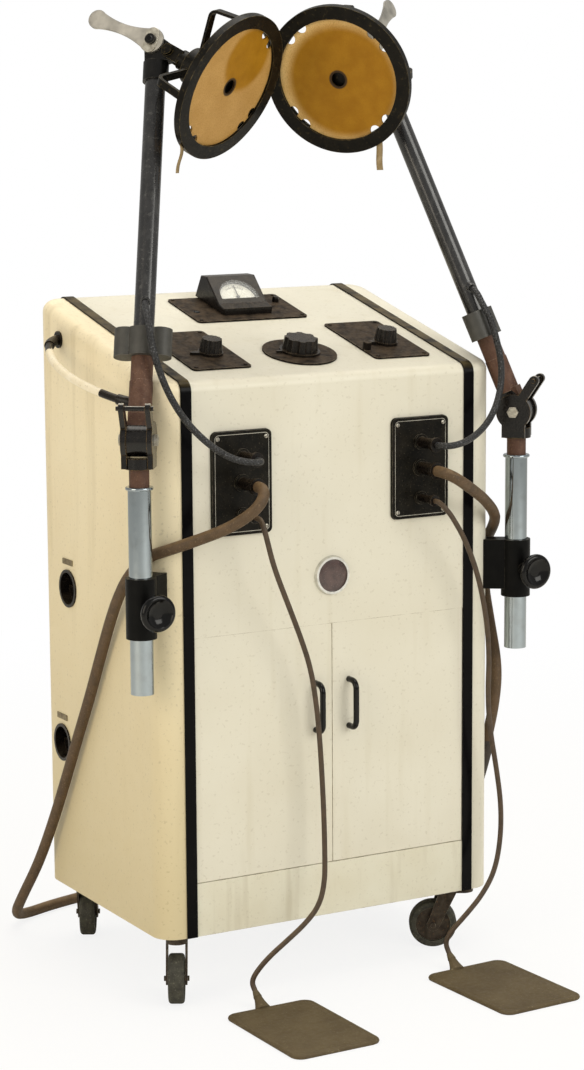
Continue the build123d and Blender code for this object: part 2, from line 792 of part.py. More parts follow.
def shifted(plane, x, z):
    """The same frame moved along its own x and z."""
    place = plane.origin + plane.x_dir * x + plane.z_dir * z
    return Plane(origin=place, x_dir=plane.x_dir, z_dir=plane.z_dir)


# Casters: forks with their stems and axles, and wheels with recessed sides
fork_inner = wheel_width / 2 + fork_room
crown_z = base_z - clear - crown_height
for label, (x, y) in casters.items():
    frame = Plane(origin=(x, y, 0), x_dir=direction(90, caster_turns[label]), z_dir=(0, 0, 1))
    axle = side_on(shifted(frame, wheel_trail, wheel_radius))
    with BuildPart() as fork:
        with BuildSketch(frame.offset(crown_z)):
            SlotOverall(2 * corner_radius, 2 * (fork_inner + fork_side))
        extrude(amount=crown_height - 4)
        with BuildSketch(frame.offset(crown_z)):
            Circle(fork_inner + fork_side)
        extrude(amount=crown_height)
        with BuildSketch(frame.offset(crown_z)):
            Circle(stem_radius)
        extrude(amount=crown_height + clear + stem_length)
        for way in (-1, 1):
            with BuildSketch(side_on(frame).offset(way * fork_inner)):
                with Locations((wheel_trail, wheel_radius)):
                    Circle(axle_radius + 6)
                with Locations((fork_inner / 2, crown_z + 2)):
                    Rectangle(2 * fork_inner, 4)
                make_hull()
            extrude(amount=way * fork_side)
        with BuildSketch(axle):
            Circle(axle_radius)
        extrude(amount=fork_inner + fork_side + 3, both=True)
    keep(fork.part, f"caster_fork_{label}")
    with BuildPart() as wheel:
        with BuildSketch(axle):
            Circle(wheel_radius)
        extrude(amount=wheel_width / 2, both=True)
        fillet(wheel.edges(), 5)
        for way in (-1, 1):
            with BuildSketch(axle.offset(way * wheel_width / 2)):
                Circle(wheel_radius - 10)
                Circle(axle_radius + 6, mode=Mode.SUBTRACT)
            extrude(amount=-way * 6, mode=Mode.SUBTRACT)
        with BuildSketch(axle):
            Circle(axle_radius + running)
        extrude(amount=wheel_width, both=True, mode=Mode.SUBTRACT)
    keep(wheel.part, f"caster_wheel_{label}")

# Clamps: a sleeve round each mast, a web seated on the cabinet's corner, and a boss for the screw
sleeve_radius = mast_radius + clamp_wall
with BuildPart() as clamps:
    for side in (-1, 1):
        corner = (side * (side_x - corner_radius), front_y + corner_radius)
        mast = (side * mast_x, mast_y)
        middle = ((corner[0] + mast[0]) / 2, (corner[1] + mast[1]) / 2)
        reach = hypot(corner[0] - mast[0], corner[1] - mast[1])
        heading = degrees(atan2(corner[1] - mast[1], corner[0] - mast[0]))
        with BuildSketch(Plane.XY.offset(clamp_bottom)):
            with Locations(mast):
                Circle(sleeve_radius)
        extrude(amount=clamp_height)
        with BuildSketch(Plane.XY.offset(clamp_bottom + web_drop)):
            with Locations(middle):
                Rectangle(reach, web_width, rotation=heading)
            with Locations(corner):
                Circle(corner_radius + seat, mode=Mode.SUBTRACT)
        extrude(amount=clamp_height - web_drop)
        screw = front_plane(side * mast_x, clamp_knob_z, mast_offset)
        with BuildSketch(screw):
            Circle(clamp_screw_radius + 4)
        extrude(amount=sleeve_radius + 5)
        with BuildSketch(screw):
            Circle(clamp_screw_radius + running)
        extrude(amount=sleeve_radius + 5, mode=Mode.SUBTRACT)
        with BuildSketch(Plane.XY.offset(clamp_bottom)):
            with Locations(mast):
                Circle(mast_radius + running)
        extrude(amount=clamp_height, mode=Mode.SUBTRACT)
keep(clamps.part, "clamps")

lead_exits = {}
for hand, side in sides.items():
    pivot = Vector(side * mast_x, mast_y, elbow_z)
    turn = arm_turns[hand]
    mast = Plane(origin=(pivot.X, pivot.Y, 0))
    upright = Plane(origin=pivot, x_dir=direction(90, turn), z_dir=(0, 0, 1))
    arm = Plane(origin=pivot, x_dir=direction(90 + arm_lean, turn), z_dir=direction(arm_lean, turn))
    head_spin = radians(head_turns[hand])
    head = Plane(
        origin=arm.origin + arm.z_dir * arm_length,
        x_dir=arm.x_dir * cos(head_spin) + arm.y_dir * sin(head_spin),
        z_dir=arm.z_dir,
    )
    tilt = radians(tilt_angles[hand])
    facing = head.x_dir * cos(tilt) + head.z_dir * sin(tilt)
    tilt_point = shifted(head, *tilt_pin).origin
    electrode = Plane(origin=tilt_point, x_dir=Vector(0, 0, 1).cross(facing), z_dir=facing)

    # Clamp knob: a dished mushroom on its screw, turned about a line forwards from the mast
    knob_side = Plane(origin=(pivot.X, mast_y, clamp_knob_z), x_dir=(0, -1, 0), z_dir=(-1, 0, 0))
    rim = clamp_knob_reach + clamp_knob_depth
    with BuildPart() as clamp_knob:
        with BuildSketch(knob_side):
            with BuildLine():
                Polyline(
                    (rim - 7, 8),
                    (rim - 7, 0),
                    (mast_radius + clear, 0),
                    (mast_radius + clear, clamp_screw_radius),
                    (clamp_knob_reach, clamp_screw_radius),
                    (clamp_knob_reach, clamp_screw_radius + 5),
                )
                ThreePointArc(
                    (clamp_knob_reach, clamp_screw_radius + 5),
                    (clamp_knob_reach + 5, clamp_knob_radius - 6),
                    (rim - 6, clamp_knob_radius),
                )
                ThreePointArc(
                    (rim - 6, clamp_knob_radius),
                    (rim - 1.2, clamp_knob_radius - 2),
                    (rim, clamp_knob_radius - 6),
                )
                ThreePointArc((rim, clamp_knob_radius - 6), (rim - 4.6, 15), (rim - 7, 8))
            make_face()
        revolve(axis=Axis(knob_side.origin, knob_side.x_dir))
    keep(clamp_knob.part, f"clamp_knob_{hand}")

    # Mast: an open tube with a rolled flare at its top
    with BuildPart() as mast_tube:
        with BuildSketch(mast.offset(mast_bottom)):
            Circle(mast_radius)
        extrude(amount=mast_top - mast_bottom)
        with BuildSketch(mast.offset(mast_top - 5)):
            Circle(flare_radius)
        extrude(amount=5)
        fillet(mast_tube.edges().filter_by(GeomType.CIRCLE).sort_by(Edge.radius)[-2:], 2.2)
        with BuildSketch(mast.offset(mast_bottom)):
            Circle(rod_radius + running)
        extrude(amount=mast_top - mast_bottom, mode=Mode.SUBTRACT)
    keep(mast_tube.part, f"mast_tube_{hand}")

    # Knuckle: a rod that turns in the mast, two cheeks, and horns with a stop pin
    hub_top = elbow_z - tongue_radius - 1
    horn_tip = (-horn_length * sin(radians(horn_angle)), horn_length * cos(radians(horn_angle)))
    with BuildPart() as knuckle:
        with BuildSketch(mast.offset(mast_top - rod_depth)):
            Circle(rod_radius)
        extrude(amount=hub_top - mast_top + rod_depth)
        with BuildSketch(mast.offset(elbow_z - tongue_radius - 17)):
            Circle(cheek_gap / 2 + cheek_thickness - 1)
        extrude(amount=16)
        for way in (-1, 1):
            with BuildSketch(side_on(upright).offset(way * cheek_gap / 2)):
                Circle(cheek_radius)
                with Locations((0, -cheek_radius + 2)):
                    Rectangle(2 * cheek_gap / 3 + 16, 2 * (tongue_radius - 9))
                SlotCenterPoint((horn_tip[0] / 2, horn_tip[1] / 2), horn_tip, horn_width)
            extrude(amount=way * cheek_thickness)
        with BuildSketch(side_on(upright)):
            with Locations(horn_tip):
                Circle(stop_radius)
        extrude(amount=cheek_gap / 2 + cheek_thickness + 4, both=True)
        with BuildSketch(side_on(upright)):
            Circle(elbow_pin_radius + seat)
        extrude(amount=cheek_gap, both=True, mode=Mode.SUBTRACT)
    keep(knuckle.part, f"knuckle_{hand}")

    with BuildPart() as elbow_bolt:
        with BuildSketch(side_on(upright)):
            Circle(elbow_pin_radius)
        extrude(amount=elbow_pin_reach, both=True)
        for way in (-1, 1):
            with BuildSketch(side_on(upright).offset(way * (cheek_gap / 2 + cheek_thickness + seat))):
                RegularPolygon(elbow_pin_radius + 4, 6)
            extrude(amount=way * 5)
    keep(elbow_bolt.part, f"elbow_bolt_{hand}")

    # Elbow tube: a round tongue between the cheeks, then a stepped tube up into the collar
    with BuildPart() as elbow_tube:
        with BuildSketch(side_on(arm)):
            Circle(tongue_radius)
            Rectangle(2 * tube_radius, tongue_radius + 12, align=(Align.CENTER, Align.MIN))
        extrude(amount=cheek_gap / 2 - clear, both=True)
        with BuildSketch(arm.offset(tongue_radius + 8)):
            Circle(tube_radius)
        extrude(amount=tube_step - tongue_radius - 8)
        with BuildSketch(arm.offset(tube_step)):
            Circle(tube_upper_radius)
        extrude(amount=collar_start + collar_step - tube_step)
        with BuildSketch(side_on(arm)):
            Circle(elbow_pin_radius + running)
        extrude(amount=cheek_gap, both=True, mode=Mode.SUBTRACT)
    keep(elbow_tube.part, f"elbow_tube_{hand}")

    # Collar: a lobed block that joins the lower tube to the upper one
    with BuildPart() as collar:
        with BuildSketch(arm.offset(collar_start)):
            Circle(collar_core)
            with Locations((0, collar_lobe - collar_half), (0, collar_half - collar_lobe)):
                Circle(collar_lobe)
            Rectangle(2 * collar_lobe - 4, 2 * (collar_half - collar_lobe))
        extrude(amount=collar_height)
        with BuildSketch(arm.offset(collar_start)):
            Circle(tube_upper_radius + seat)
        extrude(amount=collar_step, mode=Mode.SUBTRACT)
        with BuildSketch(arm.offset(collar_start + collar_step)):
            Circle(arm_radius + seat)
        extrude(amount=collar_height - collar_step, mode=Mode.SUBTRACT)
    keep(collar.part, f"collar_{hand}")

    # Upper tube, with the gland that the lead comes out of
    tube_start = collar_start + collar_step
    tube_length = arm_length + socket_top - socket_floor - clear - tube_start
    spin = radians(lead_turns[hand])
    outwards = arm.x_dir * cos(spin) + arm.y_dir * sin(spin)
    gland_axis = outwards * cos(radians(gland_tilt)) - arm.z_dir * sin(radians(gland_tilt))
    gland_point = arm.origin + arm.z_dir * lead_hole
    with BuildPart() as upper_tube:
        with BuildSketch(arm.offset(tube_start)):
            Circle(arm_radius)
        extrude(amount=tube_length)
        with BuildSketch(Plane(origin=gland_point, z_dir=gland_axis)):
            Circle(lead_diameter / 2 + 2)
        extrude(amount=arm_radius + gland_length)
        with BuildSketch(arm.offset(tube_start)):
            Circle(arm_radius - arm_wall)
        extrude(amount=tube_length, mode=Mode.SUBTRACT)
    keep(upper_tube.part, f"upper_tube_{hand}")
    lead_exits[hand] = (gland_point + gland_axis * (arm_radius + gland_length), gland_axis)
    print(hand, "lead leaves at", *lead_exits[hand])

    # Head: a socket on the tube, a flat tongue for the electrode, and the lever's pin
    outer = side
    with BuildPart() as head_block:
        with BuildSketch(head.offset(socket_top - socket_length)):
            Circle(socket_radius)
        extrude(amount=socket_length)
        with BuildSketch(head.offset(socket_top - socket_length)):
            Circle(arm_radius + running)
        extrude(amount=socket_length - socket_floor, mode=Mode.SUBTRACT)
        with BuildSketch(side_on(head)):
            with Locations(lever_pin):
                Circle(head_boss)
            with Locations(tilt_pin):
                Circle(tilt_boss)
            with Locations((0, socket_top + 1)):
                Rectangle(2 * arm_radius, 4)
            make_hull()
        extrude(amount=head_half, both=True)
        with BuildSketch(side_on(shifted(head, *tilt_pin))):
            Circle(tilt_pin_radius + running)
        extrude(amount=head_half, both=True, mode=Mode.SUBTRACT)
        lever_plane = side_on(shifted(head, *lever_pin))
        with BuildSketch(lever_plane):
            Circle(tilt_pin_radius)
        extrude(amount=-outer * (head_half + lever_thickness + 2 * clear + 1))
        with BuildSketch(lever_plane.offset(-outer * (head_half + lever_thickness + 2 * clear))):
            Circle(nut_radius)
        extrude(amount=-outer * nut_height)
    keep(head_block.part, f"head_block_{hand}")

    # Lever: a paddle with a round tip and a waist
    run = Vector(lever_tip[0] - lever_pin[0], lever_tip[1] - lever_pin[1])
    lever_axis = head.x_dir * (run.X / run.length) + head.z_dir * (run.Y / run.length)
    lever_origin = shifted(head, *lever_pin).origin - head.y_dir * (-outer * (head_half + clear))
    paddle = Plane(origin=lever_origin, x_dir=lever_axis, z_dir=head.y_dir * outer)
    with BuildPart() as lever:
        with BuildSketch(paddle):
            with BuildLine():
                tip_edge = (run.length - 4, lever_tip_radius - 1)
                upper = Spline((4, lever_root - 1), (run.length * 0.55, lever_neck), tip_edge)
                mirror(upper, about=Plane.XZ)
                Line(upper @ 0, (4, 1 - lever_root))
                Line(upper @ 1, (run.length - 4, 1 - lever_tip_radius))
            make_face()
            Circle(lever_root)
            with Locations((run.length, 0)):
                Circle(lever_tip_radius)
            Circle(tilt_pin_radius + running, mode=Mode.SUBTRACT)
        extrude(amount=lever_thickness)
    keep(lever.part, f"lever_{hand}")

    # Electrode frame: ears and pin, hub, four bent straps, ring and the backing plate
    ring_back = ring_reach - ring_thickness / 2
    strap_z = ring_reach - cage_depth
    ear_start = head_half + clear
    tilt_side = Plane(origin=tilt_point, x_dir=facing, z_dir=-head.y_dir)
    with BuildPart() as electrode_frame:
        for way in (-1, 1):
            with BuildSketch(tilt_side.offset(way * ear_start)):
                Circle(tilt_boss)
                Rectangle(hub_start + 4, 2 * tilt_boss, align=(Align.MIN, Align.CENTER))
            extrude(amount=way * ear_thickness)
            with BuildSketch(tilt_side.offset(way * (ear_start + ear_thickness))):
                Circle(nut_radius)
            extrude(amount=way * nut_height)
        with BuildSketch(tilt_side):
            Circle(tilt_pin_radius)
        extrude(amount=ear_start + ear_thickness, both=True)
        with BuildSketch(electrode.offset(hub_start)):
            Circle(hub_neck)
        extrude(amount=strap_z - hub_start)
        with BuildSketch(electrode.offset(strap_z - hub_thickness)):
            Circle(hub_radius)
        extrude(amount=hub_thickness + leg_thickness / 2)
        for leg in range(4):
            angle = radians(leg_turns[hand] + 90 * leg)
            radial = electrode.x_dir * cos(angle) + electrode.y_dir * sin(angle)
            across = facing.cross(radial)
            with BuildLine() as strap:
                FilletPolyline(
                    tilt_point + facing * strap_z,
                    tilt_point + facing * strap_z + radial * leg_radius,
                    tilt_point + facing * (ring_back + 1) + radial * (ring_radius + ring_inner) / 2,
                    radius=leg_bend,
                )
            with BuildSketch(Plane(origin=strap.line @ 0, x_dir=across, z_dir=strap.line % 0)):
                Rectangle(leg_width, leg_thickness)
            sweep()
        with BuildSketch(electrode.offset(ring_back)):
            Circle(ring_radius)
            Circle(ring_inner, mode=Mode.SUBTRACT)
        extrude(amount=ring_thickness)
        with BuildSketch(electrode.offset(ring_reach - disc_thickness / 2 - seat)):
            Circle(disc_radius + seat)
        extrude(amount=disc_thickness + 2 * seat, mode=Mode.SUBTRACT)
        backing_z = ring_reach - disc_thickness / 2 - backing_gap - backing_thickness
        with BuildSketch(electrode.offset(backing_z)):
            Circle(backing_radius)
        extrude(amount=backing_thickness)
        with BuildSketch(electrode.offset(strap_z)):
            Circle(post_radius)
        extrude(amount=backing_z - strap_z)
    keep(electrode_frame.part, f"electrode_frame_{hand}")

    # Amber disc in the ring's groove, with pairs of notches between the straps
    with BuildPart() as electrode_disc:
        with BuildSketch(electrode.offset(ring_reach - disc_thickness / 2)):
            Circle(disc_radius)
            Circle(disc_hole, mode=Mode.SUBTRACT)
            for leg in range(4):
                for spread in (-notch_spread, notch_spread):
                    angle = radians(leg_turns[hand] + 45 + 90 * leg + spread)
                    with Locations((notch_circle * cos(angle), notch_circle * sin(angle))):
                        Circle(notch_radius, mode=Mode.SUBTRACT)
        extrude(amount=disc_thickness)
    keep(electrode_disc.part, f"electrode_disc_{hand}")


def trace(points, label, diameter):
    """Cord's middle line: straight runs joined by arcs as large as the runs allow."""
    path = [Vector(*point) for point in points]
    radii = []
    for before, corner, after in zip(path, path[1:], path[2:]):
        run_in, run_out = corner - before, after - corner
        turn = radians(run_in.get_angle(run_out))
        radii.append(0.45 * min(run_in.length, run_out.length) / tan(turn / 2))
    print(label, "diameter", diameter, "radii", [round(radius) for radius in radii])
    with BuildLine() as line:
        FilletPolyline(*path, radius=radii)
    return Wire(line.edges())


def cord(points, label, diameter):
    """Round cord along a route, its ends square to the first and last runs."""
    line = trace(points, label, diameter)
    with BuildPart() as tube:
        with BuildLine():
            add(line)
        with BuildSketch(Plane(origin=line @ 0, z_dir=line % 0)):
            Circle(diameter / 2)
        sweep()
    share = tube.part.volume / (line.length * 3.14159265 * diameter**2 / 4)
    print(label, "length", round(line.length), "volume over section times length", round(share, 4))
    return tube.part


def from_middle(points):
    """Points given from the cabinet's middle, moved to where the cabinet stands."""
    return [(x, y + cabinet_y, z) for x, y, z in points]


neck_axis = Vector(0, cos(radians(neck_rise)), sin(radians(neck_rise)))
for hand, side in sides.items():
    exit_point, exit_axis = lead_exits[hand]
    plug_ends = [(side * terminal_x, front_y - reach, z) for reach, z in zip(plug_reach, socket_z)]
    route = [exit_point, exit_point + exit_axis * lead_start] + from_middle(lead_routes[hand])
    keep(cord(route + [plug_ends[0]], f"lead_{hand}", lead_diameter), f"lead_{hand}")
    neck_end = Vector(*from_middle([neck_ends[hand]])[0])
    neck_run = [neck_end + neck_axis * neck_start, neck_end]
    route = [plug_ends[2]] + from_middle(pad_cord_routes[hand]) + neck_run
    keep(cord(route, f"pad_cord_{hand}", pad_cord_diameter), f"pad_cord_{hand}")

cable_ends = [(side * terminal_x, front_y - plug_reach[1], socket_z[1]) for side in sides.values()]
cable_path = cable_ends[:1] + from_middle(cable_route) + cable_ends[1:]
keep(cord(cable_path, "treatment_cable", cable_diameter), "treatment_cable")

# Dark sleeve on the cable, along the cable's own line
cable_line = trace(cable_path, "cable sleeve", sleeve_diameter)
first, last = sleeve_points
with BuildPart() as cable_sleeve:
    with BuildLine() as sleeve_line:
        add(cable_line.edges()[2 * first - 1 : 2 * last - 2])
    with BuildSketch(Plane(origin=sleeve_line.wire() @ 0, z_dir=sleeve_line.wire() % 0)):
        Circle(sleeve_diameter / 2)
        Circle(cable_diameter / 2 + seat, mode=Mode.SUBTRACT)
    sweep()
keep(cable_sleeve.part, "cable_sleeve")

# Electrode pads lying on the floor, each with a rising neck for its cord
for hand, (x, y, turn) in pads.items():
    neck_end = Vector(*from_middle([neck_ends[hand]])[0])
    with BuildPart() as pad:
        with BuildSketch():
            with Locations(Location((x, y + cabinet_y, 0), (0, 0, turn))):
                RectangleRounded(*pad_size, pad_corner)
        extrude(amount=pad_thickness)
        fillet(pad.edges().group_by(Axis.Z)[-1], 2.5)
        with BuildSketch(Plane(origin=neck_end, z_dir=-neck_axis)):
            Circle(neck_radius)
        extrude(amount=neck_length)
        with BuildSketch(Plane.XY):
            with Locations((x, y + cabinet_y)):
                Rectangle(2 * pad_size[1], 2 * pad_size[1])
        extrude(amount=-neck_length, mode=Mode.SUBTRACT)
    keep(pad.part, f"pad_{hand}")
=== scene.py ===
import json
import math

import bpy
from mathutils import Matrix, Vector


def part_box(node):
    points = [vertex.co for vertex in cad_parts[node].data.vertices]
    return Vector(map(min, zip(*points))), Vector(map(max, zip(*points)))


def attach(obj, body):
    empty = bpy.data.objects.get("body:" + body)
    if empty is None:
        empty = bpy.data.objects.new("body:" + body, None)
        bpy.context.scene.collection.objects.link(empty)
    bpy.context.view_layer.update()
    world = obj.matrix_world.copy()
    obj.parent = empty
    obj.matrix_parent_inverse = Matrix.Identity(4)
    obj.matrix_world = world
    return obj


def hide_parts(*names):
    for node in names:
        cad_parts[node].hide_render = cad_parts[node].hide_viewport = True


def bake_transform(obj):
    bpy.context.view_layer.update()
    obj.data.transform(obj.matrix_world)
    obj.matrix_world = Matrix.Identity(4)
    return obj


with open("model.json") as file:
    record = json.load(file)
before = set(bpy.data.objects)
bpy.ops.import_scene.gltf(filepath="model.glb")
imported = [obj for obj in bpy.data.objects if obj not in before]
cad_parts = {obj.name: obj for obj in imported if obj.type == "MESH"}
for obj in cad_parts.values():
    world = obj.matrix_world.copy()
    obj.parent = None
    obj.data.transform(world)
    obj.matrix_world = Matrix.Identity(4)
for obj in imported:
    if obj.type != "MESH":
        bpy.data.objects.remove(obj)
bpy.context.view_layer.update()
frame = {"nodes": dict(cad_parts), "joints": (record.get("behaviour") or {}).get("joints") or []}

nodes = frame["nodes"]
print("frame loaded,", len(nodes), "parts")


def linkObject(name, data):
    thing = bpy.data.objects.new(name, data)
    bpy.context.scene.collection.objects.link(thing)
    return thing


# Camera: eye height in front of the machine, turned to its left side
cameraView = {
    "place": (-2.049107, -3.716381, 1.375192),  # metres
    "yaw": 0.5103766,  # radians, as are the next two
    "pitch": 0.1662028,
    "roll": -0.0065099,
    "lens": 93.44,  # mm, on a sensor 36 mm along its longer side
}


def placeCamera(view):
    yaw, pitch, roll = view["yaw"], view["pitch"], view["roll"]
    forward = Vector((math.sin(yaw) * math.cos(pitch), math.cos(yaw) * math.cos(pitch), -math.sin(pitch)))
    right = Vector((math.cos(yaw), -math.sin(yaw), 0))
    up = right.cross(forward)
    across = math.cos(roll) * right + math.sin(roll) * up
    upright = -math.sin(roll) * right + math.cos(roll) * up
    data = bpy.data.cameras.new("camera")
    data.lens = view["lens"]
    data.sensor_width = 36
    data.clip_end = 60
    camera = linkObject("camera", data)
    rows = [[across[i], upright[i], -forward[i], view["place"][i]] for i in range(3)] + [[0, 0, 0, 1]]
    camera.matrix_world = Matrix(rows)
    bpy.context.scene.camera = camera


placeCamera(cameraView)


# Cords, with their routes in metres
leadDiameter = 0.010
leadRoute = {
    "left": [
        (-0.285454, -0.139897, 1.046150), (-0.291130, -0.151266, 1.043406), (-0.294, -0.166, 1.023),
        (-0.296, -0.180, 0.990), (-0.288, -0.188, 0.950), (-0.275, -0.196, 0.913), (-0.257, -0.210, 0.878),
        (-0.232, -0.226, 0.848), (-0.204, -0.242, 0.827), (-0.179, -0.252, 0.820), (-0.162, -0.2515, 0.819),
        (-0.153, -0.242, 0.819), (-0.153, -0.229, 0.819),
    ],
    "right": [
        (0.266497, -0.148488, 1.043420), (0.266382, -0.160760, 1.039134), (0.268, -0.174, 1.022),
        (0.275, -0.187, 1.000), (0.281, -0.194, 0.970), (0.286, -0.200, 0.937), (0.284, -0.205, 0.905),
        (0.272, -0.211, 0.872), (0.250, -0.221, 0.847), (0.220, -0.235, 0.831), (0.187, -0.251, 0.823),
        (0.165, -0.254, 0.820), (0.153, -0.242, 0.819), (0.153, -0.229, 0.819),
    ],
}
cableCord = {"diameter": 0.017, "length": 2.902}
cableSleeve = {"diameter": 0.025, "from": 0.708, "to": 0.793, "taper": 0.0032, "taperShare": 0.14}  # shares
cableRoute = [
    (-0.153, -0.230, 0.780), (-0.153, -0.248, 0.780), (-0.161, -0.261, 0.766), (-0.180, -0.259, 0.746),
    (-0.210, -0.239, 0.724), (-0.245, -0.209, 0.706), (-0.276, -0.185, 0.692), (-0.299, -0.161, 0.681),
    (-0.310, -0.118, 0.646), (-0.308, -0.075, 0.602), (-0.305, -0.039, 0.556), (-0.303, -0.007, 0.508),
    (-0.303, 0.037, 0.432), (-0.303, 0.083, 0.360), (-0.304, 0.124, 0.290), (-0.306, 0.171, 0.211),
    (-0.312, 0.219, 0.130), (-0.322, 0.267, 0.062), (-0.318, 0.307, 0.022), (-0.286, 0.337, 0.0095),
    (-0.222, 0.365, 0.009), (-0.115, 0.391, 0.009), (0.012, 0.399, 0.009), (0.140, 0.387, 0.009),
    (0.244, 0.355, 0.009), (0.314, 0.301, 0.009), (0.342, 0.229, 0.014), (0.343, 0.139, 0.038),
    (0.334, 0.049, 0.090), (0.318, -0.046, 0.175), (0.308, -0.106, 0.262), (0.306, -0.136, 0.330),
    (0.310, -0.152, 0.395), (0.314, -0.152, 0.450), (0.313, -0.132, 0.515), (0.312, -0.113, 0.580),
    (0.311, -0.118, 0.641), (0.302, -0.162, 0.681), (0.278, -0.196, 0.703), (0.245, -0.220, 0.728),
    (0.212, -0.240, 0.747), (0.184, -0.256, 0.762), (0.165, -0.261, 0.773), (0.153, -0.248, 0.780),
    (0.153, -0.230, 0.780),
]
padCord = {"diameter": 0.008, "length": {"left": 0.809, "right": 0.796}}
padCordRoute = {
    "left": [
        (-0.153, -0.224, 0.734), (-0.153, -0.235, 0.734), (-0.1525, -0.244, 0.725), (-0.150, -0.249, 0.708),
        (-0.138, -0.248, 0.664), (-0.112, -0.241, 0.608), (-0.087, -0.232, 0.557), (-0.065, -0.225, 0.505),
        (-0.054, -0.222, 0.452), (-0.047, -0.221, 0.393), (-0.041, -0.221, 0.290), (-0.042, -0.226, 0.213),
        (-0.046, -0.232, 0.172), (-0.058, -0.236, 0.140), (-0.081, -0.237, 0.117), (-0.112, -0.236, 0.095),
        (-0.143, -0.232, 0.072), (-0.162, -0.227, 0.050), (-0.168, -0.225, 0.036),
        (-0.166, -0.229943, 0.024873), (-0.166, -0.239, 0.017),
    ],
    "right": [
        (0.153, -0.224, 0.734), (0.153, -0.235, 0.734), (0.158, -0.243, 0.726), (0.169, -0.245, 0.713),
        (0.198, -0.238, 0.673), (0.226, -0.230, 0.617), (0.245, -0.225, 0.550), (0.253, -0.222, 0.487),
        (0.251, -0.221, 0.428), (0.255, -0.221, 0.372), (0.268, -0.221, 0.305), (0.277, -0.221, 0.247),
        (0.276, -0.222, 0.193), (0.263, -0.226, 0.143), (0.237, -0.229, 0.108), (0.206, -0.230, 0.081),
        (0.183, -0.224, 0.057), (0.176, -0.2195, 0.040), (0.179, -0.223943, 0.024873), (0.179, -0.233, 0.017),
    ],
}


def routeCurve(name, points, radius=0.0):
    data = bpy.data.curves.new(name, "CURVE")
    data.dimensions = "3D"
    data.resolution_u = 8
    spline = data.splines.new("NURBS")
    spline.points.add(len(points) - 1)
    for point, place in zip(spline.points, points):
        point.co = (*place, 1)
    spline.order_u = 3
    spline.use_endpoint_u = True
    data.bevel_depth = radius
    data.bevel_resolution = 6
    data.use_fill_caps = True
    return linkObject(name, data)


def pathOf(points):
    guide = routeCurve("guide", points)
    mesh = bpy.data.meshes.new_from_object(guide)
    path = [vertex.co.copy() for vertex in mesh.vertices]
    bpy.data.objects.remove(guide)
    bpy.data.meshes.remove(mesh)
    return path


def meshObject(name, vertices, faces, smooth=True):
    mesh = bpy.data.meshes.new(name)
    mesh.from_pydata([tuple(v) for v in vertices], [], faces)
    mesh.update()
    mesh.polygons.foreach_set("use_smooth", [smooth] * len(mesh.polygons))
    return linkObject(name, mesh)


def finishPiece(piece, material, body=None, standsFor=None):
    piece.data.materials.append(material)
    if body:
        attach(piece, body)
    if standsFor:
        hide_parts(standsFor)
    return piece


def circleAt(place, radius, across, other, sides):
    # Points round a place, in the plane of the two directions
    turns = [2 * math.pi * k / sides for k in range(sides)]
    return [place + radius * (math.cos(turn) * across + math.sin(turn) * other) for turn in turns]


def tubeFaces(rings, sides, base=0, flipped=False):
    # Quads from each ring of points to the next, then a cap at either end
    quads = []
    for low in range(base, base + (rings - 1) * sides, sides):
        for k in range(sides):
            n = (k + 1) % sides
            quads.append((low + k, low + n, low + sides + n, low + sides + k))
    last = base + (rings - 1) * sides
    first, final = tuple(range(base, base + sides)), tuple(range(last, last + sides))
    if flipped:
        return [(a, d, c, b) for a, b, c, d in quads] + [first, final[::-1]]
    return quads + [first[::-1], final]


def runsAlong(path):
    # How far along the path each of its points lies
    along = [0.0]
    for a, b in zip(path, path[1:]):
        along.append(along[-1] + (b - a).length)
    return along


def sweepTube(name, path, radii, sides=20):
    # Rings along the path, with a UV map in metres along and a share around
    along = runsAlong(path)
    across = None
    vertices = []
    for i, place in enumerate(path):
        run = (path[min(i + 1, len(path) - 1)] - path[max(i - 1, 0)]).normalized()
        start = across if across is not None else run.orthogonal()
        across = (start - start.dot(run) * run).normalized()
        radius = radii(along[i] / along[-1]) if callable(radii) else radii
        vertices += circleAt(place, radius, across, run.cross(across), sides)
    spots = []
    for near, far in zip(along, along[1:]):
        for k in range(sides):
            u, v = k / sides, (k + 1) / sides
            spots += [(u, near), (v, near), (v, far), (u, far)]
    spots += [(0, 0)] * (2 * sides)
    tube = meshObject(name, vertices, tubeFaces(len(path), sides))
    layer = tube.data.uv_layers.new(name="along")
    for loop, spot in zip(layer.data, spots):
        loop.uv = spot
    return tube


# Colours and nodes
def toLinear(hexColour):
    parts = [int(hexColour[i:i + 2], 16) / 255 for i in (1, 3, 5)]
    return tuple(p / 12.92 if p <= 0.04045 else ((p + 0.055) / 1.055) ** 2.4 for p in parts) + (1,)


def addNode(tree, kind, values=None, links=None, **settings):
    # A link comes from an output, or from a node's first one
    node = tree.nodes.new("ShaderNode" + kind)
    for key, value in settings.items():
        setattr(node, key, value)
    for key, value in (values or {}).items():
        node.inputs[key].default_value = value
    for key, source in (links or {}).items():
        tree.links.new(source.outputs[0] if isinstance(source, bpy.types.Node) else source, node.inputs[key])
    return node


def emptyTree(owner):
    owner.use_nodes = True
    owner.node_tree.nodes.clear()
    return owner.node_tree


def newMaterial(name):
    material = bpy.data.materials.new(name)
    tree = emptyTree(material)
    shader = addNode(tree, "BsdfPrincipled")
    addNode(tree, "OutputMaterial", links={0: shader})
    coords = addNode(tree, "TexCoord").outputs["Object"]
    return material, tree, shader, coords


def blended(tree, factor, first, second):
    node = addNode(tree, "Mix", data_type="RGBA", links={0: factor})
    for index, colour in ((6, first), (7, second)):
        if isinstance(colour, str):
            node.inputs[index].default_value = toLinear(colour)
        else:
            tree.links.new(colour, node.inputs[index])
    return node.outputs[2]


